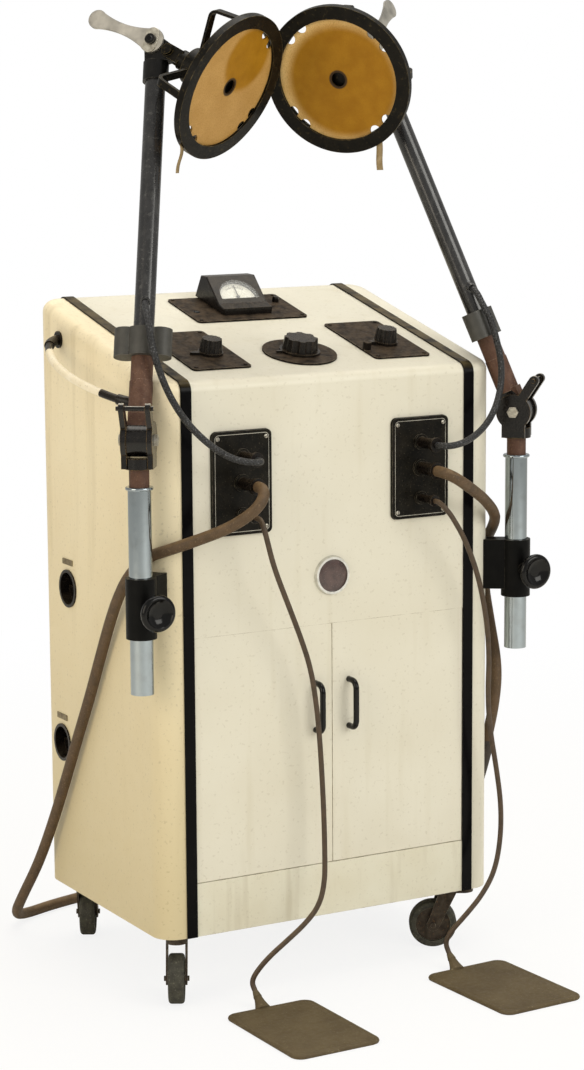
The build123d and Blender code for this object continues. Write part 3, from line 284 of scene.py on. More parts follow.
# Values of the noise between which each kind of patch fades in
patchSpan = {
    "tone": (0.35, 0.68), "runs": (0.56, 0.74), "dust": (0.25, 0.6), "specks": (0.62, 0.70),
    "gloss": (0.3, 0.7), "wear": (0.35, 0.6), "tarnish": (0.5, 0.75), "haze": (0.35, 0.7),
    "cloth": (0.35, 0.65), "weave": (0.45, 0.66), "fleck": (0.6, 0.68),
}
wornAngle = {"from": 0.985, "to": 0.86}  # cosines between the rounded normal and the real one
upwardFace = {"from": 0.35, "to": 0.95}  # upward share of the normal, where dust settles


def patches(tree, coords, size, span, detail=4, stretch=(1, 1, 1), amount=1.0):
    # Cloudy patches about that many millimetres across, as a mask from 0 to amount
    moved = addNode(tree, "Mapping", values={"Scale": stretch}, links={0: coords})
    noise = addNode(tree, "TexNoise", values={"Scale": 1000 / size, "Detail": detail},
                    links={"Vector": moved})
    low, high = patchSpan[span]
    ramp = addNode(tree, "MapRange", values={1: low, 2: high, 4: amount}, links={0: noise})
    return ramp.outputs[0]


def edgeMask(tree, width, size, coords):
    # Where a worn edge shows: the rounded normal differs from the real one, broken up by patches
    bevel = addNode(tree, "Bevel", values={"Radius": width / 1000}, samples=6)
    geometry = addNode(tree, "NewGeometry")
    dot = addNode(tree, "VectorMath", operation="DOT_PRODUCT",
                  links={0: bevel, 1: geometry.outputs["Normal"]})
    edge = addNode(tree, "MapRange", values={1: wornAngle["from"], 2: wornAngle["to"]},
                   links={0: dot.outputs["Value"]})
    broken = patches(tree, coords, size, "wear")
    return addNode(tree, "Math", operation="MULTIPLY", links={0: edge, 1: broken}).outputs[0]


def grainBump(tree, shader, coords, size, depth):
    noise = addNode(tree, "TexNoise", values={"Scale": 1000 / size, "Detail": 3}, links={"Vector": coords})
    bump = addNode(tree, "Bump", values={"Distance": depth / 1000}, links={"Height": noise})
    tree.links.new(bump.outputs[0], shader.inputs["Normal"])


def roughPatches(tree, shader, mask, gloss):
    rough = addNode(tree, "MapRange", values={3: gloss[0], 4: gloss[1]}, links={0: mask})
    tree.links.new(rough.outputs[0], shader.inputs["Roughness"])


def coated(name, look):
    # A painted, moulded or coated surface. In look, sizes are in millimetres: tone (two colours, size); runs,
    # dust and specks (colour, size, amount); the painted shade low down (colour, heights in metres where it
    # starts and is whole);
    # gloss (roughness from and to); wear (colour, width, size); grain (size, depth)
    material, tree, shader, coords = newMaterial(name)
    first, second, toneSize = look["tone"]
    colour = blended(tree, patches(tree, coords, toneSize, "tone"), first, second)
    if "runs" in look:
        runColour, size, amount = look["runs"]
        runs = patches(tree, coords, size, "runs", stretch=(1, 1, 0.08), amount=amount)
        colour = blended(tree, runs, colour, runColour)
    # Painted shade: the colour darkens towards a shaded colour low down
    if "lower" in look:
        lowerColour, start, whole = look["lower"]
        height = addNode(tree, "SeparateXYZ", links={0: coords})
        fade = addNode(tree, "MapRange", values={1: start, 2: whole}, links={0: height.outputs[2]})
        colour = blended(tree, fade, colour, lowerColour)
    if "dust" in look:
        dustColour, size, amount = look["dust"]
        geometry = addNode(tree, "NewGeometry")
        normal = addNode(tree, "SeparateXYZ", links={0: geometry.outputs["Normal"]})
        upward = addNode(tree, "MapRange", links={0: normal.outputs[2]},
                         values={1: upwardFace["from"], 2: upwardFace["to"], 4: amount})
        settled = addNode(tree, "Math", operation="MULTIPLY",
                          links={0: upward, 1: patches(tree, coords, size, "dust")})
        colour = blended(tree, settled, colour, dustColour)
    if "specks" in look:
        speckColour, size, amount = look["specks"]
        specks = patches(tree, coords, size, "specks", detail=2, amount=amount)
        colour = blended(tree, specks, colour, speckColour)
    roughPatches(tree, shader, patches(tree, coords, toneSize / 6, "gloss"), look["gloss"])
    shader.inputs["Metallic"].default_value = look.get("metallic", 0)
    wearColour, width, size = look["wear"]
    edge = edgeMask(tree, width, size, coords)
    colour = blended(tree, edge, colour, wearColour)
    if look.get("wearMetal"):
        tree.links.new(edge, shader.inputs["Metallic"])
    tree.links.new(colour, shader.inputs["Base Color"])
    shader.inputs["Specular IOR Level"].default_value = look.get("specular", 0.5)
    shader.inputs["Coat Weight"].default_value = look.get("coat", 0)
    shader.inputs["Coat Roughness"].default_value = 0.1
    grainBump(tree, shader, coords, *look["grain"])
    return material


# Enamelled steel sheet, sprayed and stoved: creamy gloss gone chalky, with faint runs of dirt
enamelFront = coated("stovedEnamel", {
    "tone": ("#DFDBCB", "#D9D4C2", 170), "runs": ("#C9C1A8", 26, 0.3), "specks": ("#8C7D5C", 5.5, 0.16),
    "gloss": (0.34, 0.5), "wear": ("#8A7B5A", 0.8, 14), "grain": (1.6, 0.02),
})
# The same enamel on the left side sheet, a copy of its own: warmer, partly yellowed with age and partly
# painted shade on that side, and darker towards the floor as painted shade
enamelSideShaded = coated("sideEnamelPaintedShade", {
    "tone": ("#F2E6C6", "#ECDEBC", 150), "runs": ("#BFAF88", 30, 0.4), "lower": ("#CDBF99", 0.95, 0.15),
    "specks": ("#7D6C4A", 5.0, 0.2), "gloss": (0.36, 0.52), "wear": ("#8A7B5A", 0.8, 14),
    "grain": (1.6, 0.02),
})
# Thin grey-cream enamel inside the sheet work and on the base, dull because it was never polished
enamelPan = coated("dullEnamel", {
    "tone": ("#E0DDCB", "#D9D4BF", 90), "runs": ("#A4977A", 22, 0.3), "specks": ("#7D6C4A", 4.5, 0.12),
    "gloss": (0.45, 0.62), "wear": ("#6E5A3E", 1.2, 9), "grain": (1.4, 0.03),
})
# Black lacquered brass strip: glossy on the front, under olive dust on the top
stripLacquer = coated("blackLacquer", {
    "tone": ("#060607", "#0C0B0D", 60), "dust": ("#5A4F37", 25, 1.0), "gloss": (0.12, 0.26),
    "specular": 0.07, "wear": ("#3B3324", 0.7, 12), "grain": (3, 0.02),
})
# Black paint on sheet steel, etched and dusty, its edges rubbed to bare metal
plateBlack = coated("etchedPlatePaint", {
    "tone": ("#0E0B09", "#1C1612", 28), "dust": ("#4C4033", 14, 0.85), "specks": ("#6A5F50", 2.6, 0.25),
    "gloss": (0.4, 0.62), "specular": 0.07, "wear": ("#A79C88", 0.9, 10), "wearMetal": True,
    "grain": (1.2, 0.03),
})
# The upright terminal plates, the same paint kept cleaner by standing on edge
terminalBlack = coated("terminalPlatePaint", {
    "tone": ("#0B0A07", "#1B1812", 22), "specks": ("#5F5647", 2.4, 0.3), "gloss": (0.26, 0.48),
    "specular": 0.12, "wear": ("#7E7768", 0.9, 8), "grain": (1.2, 0.03),
})
# Phenolic moulding, bakelite: brown-black, polished by hands on its ribs, dust in its grooves
bakelite = coated("mouldedBakelite", {
    "tone": ("#0D0A08", "#191410", 14), "dust": ("#42392D", 8, 0.7), "gloss": (0.2, 0.42),
    "specular": 0.2, "coat": 0.08, "wear": ("#6A5C4A", 0.7, 6), "grain": (0.9, 0.015),
})
# Polished ebonite of the clamp knobs, near black and glossy all over
ebonite = coated("polishedEbonite", {
    "tone": ("#050505", "#080707", 20), "gloss": (0.1, 0.2), "specular": 0.2, "coat": 0.15,
    "wear": ("#2E2A26", 0.6, 8), "grain": (2, 0.01),
})
# Cast clamp brackets in satin stove black, rubbed grey on the corners
clampBlack = coated("satinStoveBlack", {
    "tone": ("#060606", "#0D0D0C", 18), "dust": ("#232019", 10, 0.4), "gloss": (0.3, 0.5),
    "specular": 0.1, "wear": ("#5C574C", 1.0, 7), "grain": (0.8, 0.03),
})
# Brass elbow joint under thick black enamel, bronze where it is rubbed through
jointBlack = coated("rubbedJointEnamel", {
    "tone": ("#080706", "#120E0B", 12), "gloss": (0.14, 0.32), "specular": 0.35, "coat": 0.12,
    "wear": ("#8A7048", 1.3, 9), "wearMetal": True, "grain": (1.0, 0.02),
})
# Turned steel bolts, dull bright with grey in the threads
boltSteel = coated("turnedSteel", {
    "tone": ("#C4C0B4", "#989284", 5), "gloss": (0.25, 0.45), "metallic": 0.7,
    "wear": ("#CFC9BD", 0.6, 4), "grain": (0.6, 0.01),
})
# Mild steel tube, bare and rusted an even red-brown, with a few bright scratches
rustSteel = coated("rustedTube", {
    "tone": ("#4A2D1D", "#5E4130", 16), "runs": ("#2E1A10", 9, 0.7), "specks": ("#8A6A4E", 2.2, 0.45),
    "gloss": (0.55, 0.78), "wear": ("#A9927C", 0.9, 6), "grain": (0.7, 0.05),
})
# Cast aluminium collar, painted dark grey and chalked
collarGrey = coated("chalkedGreyPaint", {
    "tone": ("#34332F", "#403F3A", 14), "dust": ("#5A5850", 10, 0.4), "gloss": (0.42, 0.6),
    "wear": ("#6E6B62", 1.0, 7), "grain": (0.9, 0.03),
})
# Drawn steel arm tube in worn blue-black lacquer, long pale rubs down it
armBlack = coated("rubbedArmLacquer", {
    "tone": ("#1C1C1D", "#2B2B2C", 30), "runs": ("#4A4A49", 9, 0.4), "specks": ("#8A8A86", 5.0, 0.1),
    "gloss": (0.16, 0.3), "specular": 0.5, "coat": 0.25, "wear": ("#8C8A84", 0.8, 8),
    "grain": (1.2, 0.02),
})
# Cast head block, oily dark grey
headGrey = coated("oiledCasting", {
    "tone": ("#090909", "#141312", 9), "gloss": (0.25, 0.45), "specular": 0.22,
    "wear": ("#77736A", 1.0, 6), "wearMetal": True, "grain": (0.9, 0.03),
})
# Pressed steel lever, its black plating worn to grey metal and bright at the tip
leverGrey = coated("wornPlatedLever", {
    "tone": ("#8E8B84", "#D2CDC2", 38), "gloss": (0.28, 0.42), "metallic": 0.6,
    "wear": ("#1E1C1A", 1.0, 14), "grain": (0.8, 0.015),
})
# Moulded ring and straps of the electrode, black with olive and bronze rubs
cageBlack = coated("rubbedRingMoulding", {
    "tone": ("#0B0A07", "#17140E", 20), "specks": ("#4A4028", 6, 0.35), "gloss": (0.26, 0.46),
    "specular": 0.12, "wear": ("#6F6140", 1.3, 10), "grain": (1.0, 0.03),
})
# Grey-brown rubber pad, moulded, with specks of dirt and pale rubbed edges
padRubber = coated("mouldedRubber", {
    "tone": ("#51442E", "#5E5139", 46), "dust": ("#685B41", 30, 0.3), "specks": ("#968A68", 3.2, 0.35),
    "gloss": (0.6, 0.8), "specular": 0.35, "wear": ("#8D8366", 2.2, 14), "grain": (0.9, 0.06),
})
# Solid tyre rubber, greyed by floors
tyreRubber = coated("solidTyreRubber", {
    "tone": ("#2A2821", "#403F34", 9), "specks": ("#7E7C6A", 2.6, 0.4), "gloss": (0.6, 0.8),
    "wear": ("#6B6957", 1.4, 8), "grain": (0.8, 0.06),
})
# Pressed and forged caster steel, oily, brown with light rust
casterSteel = coated("oilyForgedSteel", {
    "tone": ("#4A4137", "#2E251C", 9), "specks": ("#86603C", 3.0, 0.4), "gloss": (0.35, 0.6),
    "metallic": 0.55, "wear": ("#9A9284", 0.9, 5), "grain": (0.8, 0.04),
})
# Rubber-covered flex, brown with dust on its upper side
flexBrown = coated("dustyRubberFlex", {
    "tone": ("#57422A", "#49371F", 13), "runs": ("#33261A", 16, 0.4), "dust": ("#846A48", 12, 0.75),
    "specks": ("#98815F", 2.4, 0.3), "gloss": (0.5, 0.72), "wear": ("#7C6245", 0.6, 6),
    "grain": (1.2, 0.08),
})
# Thin pad leads in the same rubber, darker because they are handled
flexThin = coated("handledRubberFlex", {
    "tone": ("#4B3A28", "#3B2D1E", 10), "dust": ("#7A664C", 9, 0.6), "gloss": (0.42, 0.6),
    "wear": ("#6A563E", 0.5, 5), "grain": (0.9, 0.05),
})
# Friction tape wound round the cable, nearly black and matt
tapeDark = coated("frictionTape", {
    "tone": ("#2A241D", "#3A3127", 8), "gloss": (0.6, 0.8), "wear": ("#54493A", 0.8, 5),
    "grain": (1.0, 0.12),
})
# Ivory paint on the handle's bar, thick and soft-edged
handleIvory = coated("handleIvoryPaint", {
    "tone": ("#F0E6CE", "#E6D9B9", 30), "specks": ("#8A7450", 4, 0.25), "gloss": (0.3, 0.45),
    "wear": ("#7A6848", 0.8, 8), "grain": (1.4, 0.02),
})
# Enamelled badge disc, plain and bare
badgeEnamel = coated("bareBadgeEnamel", {
    "tone": ("#3D2C2A", "#55403C", 12), "gloss": (0.18, 0.3), "coat": 0.5, "wear": ("#8D7A70", 0.6, 5),
    "grain": (1.0, 0.01),
})
# Card dial behind the glass, ivory white and matt
dialCard = coated("dialCard", {
    "tone": ("#EDEBDF", "#E2DFD0", 14), "gloss": (0.6, 0.75), "wear": ("#C9C4B2", 0.4, 4),
    "grain": (0.7, 0.01),
})
# Printing ink on card, flat black, also used for the painted shade in the screws' slots
inkBlackAndSlotShade = coated("printingInkAndSlotShade", {
    "tone": ("#1A1A1A", "#242424", 6), "gloss": (0.5, 0.7), "wear": ("#3A3A3A", 0.2, 3),
    "grain": (0.6, 0.005),
})
# Bare nickel-silver label plates, brushed and tarnished
labelMetal = coated("tarnishedLabel", {
    "tone": ("#8C8064", "#6B5C42", 7), "gloss": (0.35, 0.5), "metallic": 0.7,
    "wear": ("#C6BE97", 0.6, 4), "grain": (0.6, 0.02),
})
# Pale zinc-plated steel of the lever's slotted plate and nuts
zincPale = coated("paleZincPlate", {
    "tone": ("#CFCBBE", "#A5A093", 6), "gloss": (0.3, 0.45), "metallic": 0.8,
    "wear": ("#E4E0D5", 0.6, 4), "grain": (0.7, 0.01),
})


def platedMetal(name, look):
    # Bright plating: a metal with faint drawing lines and cloudy tarnish
    material, tree, shader, coords = newMaterial(name)
    dull, size, amount = look["tarnish"]
    tarnish = patches(tree, coords, size, "tarnish", amount=amount)
    tree.links.new(blended(tree, tarnish, look["base"], dull), shader.inputs["Base Color"])
    roughPatches(tree, shader, patches(tree, coords, size / 3, "haze"), look["gloss"])
    shader.inputs["Metallic"].default_value = 1
    grainBump(tree, shader, coords, *look["grain"])
    return material


# Chromium plate on brass tube: mirror bright with a slight haze and small dark pits
mastChrome = platedMetal("hazedChrome", {
    "base": "#A3ADB4", "tarnish": ("#7C7D79", 22, 0.3), "gloss": (0.05, 0.14), "grain": (9, 0.012),
})
# Chromium plate on the badge's pressed rim, cleaner
badgeChrome = platedMetal("rimChrome", {
    "base": "#D3D3D0", "tarnish": ("#7A7568", 9, 0.4), "gloss": (0.08, 0.2), "grain": (4, 0.01),
})


def nearMask(tree, coords, middle, radius, softness, **settings):
    # 1 within the radius of a place and 0 outside it, with an edge that soft to either side
    away = addNode(tree, "VectorMath", operation="DISTANCE", values={1: middle}, links={0: coords})
    return addNode(tree, "MapRange", values={1: radius + softness, 2: radius - softness},
                   links={0: away.outputs["Value"]}, **settings)


def amberWithPaintedLight(name, look):
    # Resin-bonded cloth sheet, amber and opaque: its paler parts are painted light as if shining through it,
    # and it is darker with painted shade where the plate behind it would block that light
    material, tree, shader, coords = newMaterial(name)
    behind = nearMask(tree, coords, look["backing"], *look["plateShadeReach"], interpolation_type="SMOOTHSTEP")
    backlitColour = blended(tree, patches(tree, coords, look["backlitSize"], "cloth"), *look["thin"])
    dark = blended(tree, patches(tree, coords, look["plateShadeSize"], "cloth"), *look["plateShadeTones"])
    # Painted shade of the plate behind, laid over the painted light through the sheet
    colour = blended(tree, behind, backlitColour, dark)
    fleckColour, size, amount = look["flecks"]
    colour = blended(tree, patches(tree, coords, size, "weave", detail=2, amount=amount), colour, fleckColour)
    colour = blended(tree, nearMask(tree, coords, look["middle"], *look["brim"]), colour, look["sawn"])
    tree.links.new(colour, shader.inputs["Base Color"])
    shader.inputs["Roughness"].default_value = 0.5
    shader.inputs["Specular IOR Level"].default_value = 0.2
    grainBump(tree, shader, coords, *look["grain"])
    return material


def braidedCover(name, look):
    # Cotton braid over rubber, lacquered black: crossing threads with pale flecks, and painted shade
    # darkening the gaps between the threads
    material, tree, shader, coords = newMaterial(name)
    spot = addNode(tree, "UVMap", uv_map="along").outputs[0]
    parts = addNode(tree, "SeparateXYZ", links={0: spot}).outputs
    masks = []
    for slant in (1, -1):
        around = addNode(tree, "Math", operation="MULTIPLY", values={1: look["carriers"] * slant},
                         links={0: parts[0]})
        onward = addNode(tree, "Math", operation="MULTIPLY", values={1: 1000 / look["pitch"]},
                         links={0: parts[1]})
        total = addNode(tree, "Math", operation="ADD", links={0: around, 1: onward})
        wave = addNode(tree, "Math", operation="PINGPONG", values={1: 0.5}, links={0: total})
        masks.append(wave.outputs[0])
    height = addNode(tree, "Math", operation="MAXIMUM", links={0: masks[0], 1: masks[1]})
    raised = addNode(tree, "MapRange", values={1: 0.2, 2: 0.5}, links={0: height})
    # Painted shade: the low gaps between the threads get the darker colour
    colour = blended(tree, raised, look["gap"], look["thread"])
    fleckColour, size, amount = look["flecks"]
    colour = blended(tree, patches(tree, coords, size, "fleck", detail=2, amount=amount), colour, fleckColour)
    tree.links.new(colour, shader.inputs["Base Color"])
    shader.inputs["Roughness"].default_value = 0.4
    bump = addNode(tree, "Bump", values={"Distance": look["depth"] / 1000}, links={"Height": raised})
    tree.links.new(bump.outputs[0], shader.inputs["Normal"])
    return material


# Black lacquered cotton braid, threads about 1.6 mm wide, drawn a little coarse so that they show
leadBraid = braidedCover("lacqueredBraid", {
    "carriers": 6, "pitch": 5.2, "depth": 0.6, "gap": "#050505", "thread": "#202124",
    "flecks": ("#74767A", 2.4, 0.6),
})
# Cotton tape, unbleached, gone brown
cottonTape = coated("brownedCottonTape", {
    "tone": ("#A08C6C", "#86724F", 9), "gloss": (0.8, 0.95), "specular": 0.2, "wear": ("#6E5C3E", 0.4, 4),
    "grain": (0.8, 0.1),
})


def clearGlass(name):
    # Window glass, thin and clean, so that the dial shows through it
    material, tree, shader, coords = newMaterial(name)
    shader.inputs["Base Color"].default_value = toLinear("#FBFDFC")
    shader.inputs["Roughness"].default_value = 0.03
    shader.inputs["IOR"].default_value = 1.5
    shader.inputs["Alpha"].default_value = 0.12
    grainBump(tree, shader, coords, 30, 0.01)
    return material


meterPane = clearGlass("meterPaneGlass")
print("materials made,", len(bpy.data.materials))


def dress(node, material):
    thing = nodes[node]
    thing.data.materials.clear()
    thing.data.materials.append(material)


def dressWhere(node, material, test):
    # Second finish on the faces that the test picks, by their middle and normal
    data = nodes[node].data
    data.materials.append(material)
    index = len(data.materials) - 1
    for face in data.polygons:
        if test(face.center, face.normal):
            face.material_index = index


# Where a second finish starts, in metres
knuckleBottom, tongueTop, pinBottom = 0.812, 0.884, 0.893
hubRadius, unshadedSideFrom = 0.0235, 0.1
pinFacing = 0.3  # faces there that turn less than this to the side are the stop pin's
pulls = {"front": -0.1778, "bottom": 0.37, "top": 0.49, "half": 0.05}
brackets = {"inner": -0.2985, "places": (-0.111, 0.126), "half": 0.0285}
nodeFinish = {
    enamelFront: ["wrap_panel", "door_left", "door_right"],
    enamelSideShaded: ["side_panels"],
    enamelPan: ["base_pan", "deck_shelf", "back_panel"],
    stripLacquer: ["trim_strips"],
    plateBlack: ["top_plates"],
    terminalBlack: ["terminal_plates"],
    bakelite: ["meter_housing", "knob_left", "knob_right", "tuning_knob", "terminal_plugs", "side_ports",
               "mains_gland"],
    meterPane: ["meter_glass"],
    inkBlackAndSlotShade: ["meter_needle"],
    badgeChrome: ["badge_ring"],
    handleIvory: ["side_handle"],
    clampBlack: ["clamps"],
}
for finish, names in nodeFinish.items():
    for name in names:
        dress(name, finish)
for hand in ("left", "right"):
    for stem, finish in (("clamp_knob", ebonite), ("mast_tube", mastChrome), ("knuckle", jointBlack),
                         ("elbow_bolt", boltSteel), ("elbow_tube", rustSteel), ("collar", collarGrey),
                         ("upper_tube", armBlack), ("head_block", headGrey), ("lever", leverGrey),
                         ("electrode_frame", cageBlack)):
        dress(f"{stem}_{hand}", finish)
    # Rusty rod below the knuckle, bright stop pin between its black horns, black tongue on the elbow tube
    dressWhere(f"knuckle_{hand}", rustSteel, lambda c, n: c.z < knuckleBottom)
    dressWhere(f"knuckle_{hand}", boltSteel, lambda c, n: c.z > pinBottom and abs(n.x) < pinFacing)
    dressWhere(f"elbow_tube_{hand}", jointBlack, lambda c, n: c.z < tongueTop)
for corner in ("front_left", "front_right", "rear_left", "rear_right"):
    dress(f"caster_fork_{corner}", casterSteel)
    dress(f"caster_wheel_{corner}", tyreRubber)
    low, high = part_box(f"caster_wheel_{corner}")
    middle = (Vector(low) + Vector(high)) / 2
    dressWhere(f"caster_wheel_{corner}", casterSteel, lambda c, n, m=middle: (c - m).length < hubRadius)
# The right side sheet takes the front's enamel; only the left side sheet gets the painted shade
dressWhere("side_panels", enamelFront, lambda c, n: c.x > unshadedSideFrom)
for door in ("door_left", "door_right"):
    dressWhere(door, ebonite, lambda c, n: c.y < pulls["front"] and pulls["bottom"] < c.z < pulls["top"]
               and abs(c.x) < pulls["half"])
dressWhere("side_handle", bakelite, lambda c, n: c.x > brackets["inner"]
           or any(abs(c.y - y) < brackets["half"] for y in brackets["places"]))


# Free cords
leadShares = (0.0, 0.3, 0.65, 1.0)  # along each lead from its arm, where it is cut into its three pieces
for hand in ("left", "right"):
    path = pathOf(leadRoute[hand])
    for k in range(3):
        first, last = (round(share * (len(path) - 1)) for share in leadShares[k:k + 2])
        stretch = path[first:last + 1]
        lead = sweepTube(f"lead_braid_{hand}_{k}", stretch, leadDiameter / 2)
        finishPiece(lead, leadBraid, standsFor=f"lead_{hand}")
        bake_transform(lead)

cable = routeCurve("cable_flex", cableRoute, cableCord["diameter"] / 2)
finishPiece(cable, flexBrown, "cabinet", "treatment_cable")
cablePath = pathOf(cableRoute)
cableRuns = runsAlong(cablePath)
covered = [place for place, run in zip(cablePath, cableRuns)
           if cableSleeve["from"] < run / cableRuns[-1] < cableSleeve["to"]]


def sleeveRadius(t):
    pastTaper = max(0, abs(2 * t - 1) - 1 + cableSleeve["taperShare"]) / cableSleeve["taperShare"]
    return cableSleeve["diameter"] / 2 - cableSleeve["taper"] * pastTaper


sleeve = sweepTube("cable_taping", covered, sleeveRadius, sides=24)
finishPiece(sleeve, tapeDark, "cabinet", "cable_sleeve")

# Ribbed boot where each pad's cord goes into its neck
padBoot = {"back": 0.009, "step": 0.0006, "rings": 19, "radius": 0.0042, "flare": 0.0023, "rib": 0.0004,
           "ribTurn": 31}


def cordEnd(route):
    # Last point of a route, and the way in which it gets there
    end, before = Vector(route[-1]), Vector(route[-2])
    return end, (end - before).normalized()


for hand in ("left", "right"):
    route = padCordRoute[hand]
    thin = routeCurve(f"pad_flex_{hand}", route, padCord["diameter"] / 2)
    finishPiece(thin, flexThin, "cabinet", f"pad_cord_{hand}")
    end, run = cordEnd(route)
    bootPath = [end - run * padBoot["back"] + run * padBoot["step"] * k for k in range(padBoot["rings"])]
    boot = sweepTube(f"pad_boot_{hand}", bootPath, lambda t: padBoot["radius"] + padBoot["flare"] * t
                     + padBoot["rib"] * math.sin(t * padBoot["ribTurn"]), sides=20)
    finishPiece(boot, padRubber, "cabinet")
print("cords laid")


# Pads: moulded rubber plates on the floor, each with a neck for its cord
padForm = {
    "size": (0.145, 0.210), "thickness": 0.007, "corner": 0.016, "floorGap": 0.00005, "sunk": 0.0004,
    "place": {"left": (-0.158, -0.361, 1.0), "right": (0.196, -0.352, 3.0)},  # middle, and turn in degrees
    # From the top's middle over the rim to the underside: inset from the rim, and share of the thickness
    "section": (
        (0.068, 0.99), (0.056, 0.99), (0.042, 0.995), (0.028, 1.0), (0.016, 1.0), (0.0101, 0.985),
        (0.0088, 0.93), (0.0075, 0.985), (0.004, 1.0), (0.0018, 0.96), (0.0006, 0.80), (0.0, 0.5),
        (0.0006, 0.2), (0.002, 0.06), (0.006, 0), (0.03, 0), (0.066, 0),
    ),
}
padWave = {"height": 0.0004, "x": (61, 1.7), "y": (43, 0.6), "fromInset": 0.003, "fromShare": 0.6}
padNeck = {"length": 0.022, "radius": 0.0058, "flare": 0.0030, "widening": 0.5, "lift": 0.0006, "sides": 20,
           "steps": 10}


def roundedOutline(halfX, halfY, corner, perCorner=10, perSide=14):
    arcs = []
    for sx, sy, start in ((1, 1, 0), (-1, 1, 90), (-1, -1, 180), (1, -1, 270)):
        cx, cy = sx * (halfX - corner), sy * (halfY - corner)
        turns = [math.radians(start + 90 * k / perCorner) for k in range(perCorner + 1)]
        arcs.append([(cx + corner * math.cos(turn), cy + corner * math.sin(turn)) for turn in turns])
    points = []
    for arc, following in zip(arcs, arcs[1:] + arcs[:1]):
        (x0, y0), (x1, y1) = arc[-1], following[0]
        points += arc
        points += [(x0 + (x1 - x0) * k / perSide, y0 + (y1 - y0) * k / perSide) for k in range(1, perSide)]
    return points


def padRing(hand, outline, inset, height):
    # One outline of the pad, drawn in and raised, with a slight wave on its top
    halfX, halfY = (side / 2 for side in padForm["size"])
    x0, y0, degrees = padForm["place"][hand]
    turn = math.radians(degrees)
    (rateX, shiftX), (rateY, shiftY) = padWave["x"], padWave["y"]
    waved = height > padForm["thickness"] * padWave["fromShare"] and inset > padWave["fromInset"]
    crest = padWave["height"] if waved else 0
    points = []
    for x, y in outline:
        px, py = x * (halfX - inset) / halfX, y * (halfY - inset) / halfY
        wave = crest * math.sin(px * rateX + shiftX) * math.sin(py * rateY + shiftY)
        points.append((x0 + px * math.cos(turn) - py * math.sin(turn),
                       y0 + px * math.sin(turn) + py * math.cos(turn),
                       max(height + wave - padForm["sunk"], padForm["floorGap"])))
    return points


def buildPad(hand):
    outline = roundedOutline(padForm["size"][0] / 2, padForm["size"][1] / 2, padForm["corner"])
    layers = [padRing(hand, outline, inset, share * padForm["thickness"])
              for inset, share in padForm["section"]]
    vertices = [p for layer in layers for p in layer]
    faces = tubeFaces(len(layers), len(outline), flipped=True)
    # The neck rises out of the pad's back edge
    end, run = cordEnd(padCordRoute[hand])
    base, sides, steps = len(vertices), padNeck["sides"], padNeck["steps"]
    across = Vector((1, 0, 0))
    for i in range(steps + 1):
        share = i / steps
        radius = padNeck["radius"] + padNeck["flare"] * share ** 1.6
        ring = circleAt(end + run * padNeck["length"] * share, radius,
                        across * (1 + padNeck["widening"] * share), run.cross(across), sides)
        vertices += [(p.x, p.y, max(p.z, padNeck["lift"])) for p in ring]
    faces += tubeFaces(steps + 1, sides, base, flipped=True)
    finishPiece(meshObject(f"rubber_pad_{hand}", vertices, faces), padRubber, "cabinet",
                f"pad_{hand}")


for hand in ("left", "right"):
    buildPad(hand)
print("pads made")


# Small turned and cut pieces
def latheAt(name, place, axis, profile, material, body, sides=28):
    # profile is (distance along the axis, radius) in metres
    axis = Vector(axis).normalized()
    across = axis.orthogonal().normalized()
    vertices = []
    for along, radius in profile:
        vertices += circleAt(Vector(place) + axis * along, radius, across, axis.cross(across), sides)
    piece = meshObject(name, vertices, tubeFaces(len(profile), sides), smooth=False)
    for face in piece.data.polygons:
        face.use_smooth = len(face.vertices) == 4 and sides > 8
    finishPiece(piece, material, body)


def plateFrom(name, outline, origin, across, upward, thickness, material, body, bevel=0.0003):
    # Flat plate with that outline, its back on the plane through origin
    across, upward = Vector(across), Vector(upward)
    out = across.cross(upward).normalized()
    vertices = []
    for level, inset in ((0, 0), (thickness - bevel, 0), (thickness, bevel)):
        for x, y in outline:
            k = 1 - inset / (math.hypot(x, y) or 1)
            vertices.append(Vector(origin) + across * x * k + upward * y * k + out * level)
    piece = meshObject(name, vertices, tubeFaces(3, len(outline)), smooth=False)
    finishPiece(piece, material, body)


# Slope of the top, and a place on it: x across, s up the slope from the front edge, h off it
top = {"frontY": -0.177, "frontZ": 0.930, "slope": math.atan2(101, 412)}
upSlope = Vector((0, math.cos(top["slope"]), math.sin(top["slope"])))
offTop = Vector((0, -math.sin(top["slope"]), math.cos(top["slope"])))


def onTop(x, s, h=0.0):
    return Vector((x, top["frontY"], top["frontZ"])) + upSlope * s + offTop * h


# Meter dial: a D-shaped card under the glass with a printed arc of marks
meterDial = {
    "x": 0.006, "s": 0.320, "h": 0.0305, "tilt": math.atan2(29, 48), "floor": 0.0075, "half": 0.0305,
    "low": -0.0165, "straight": 0.0105, "rise": 0.0228, "cardThickness": 0.0004, "pivot": -0.0115,
    "arcRadius": 0.0205, "arcWidth": 0.0004, "arcSteps": 48, "roundSteps": 40, "sweep": 84, "lift": 0.0001,
    "marks": 21, "longEvery": 5, "long": (0.0042, 0.0006), "short": (0.0024, 0.0004),  # length and width
}


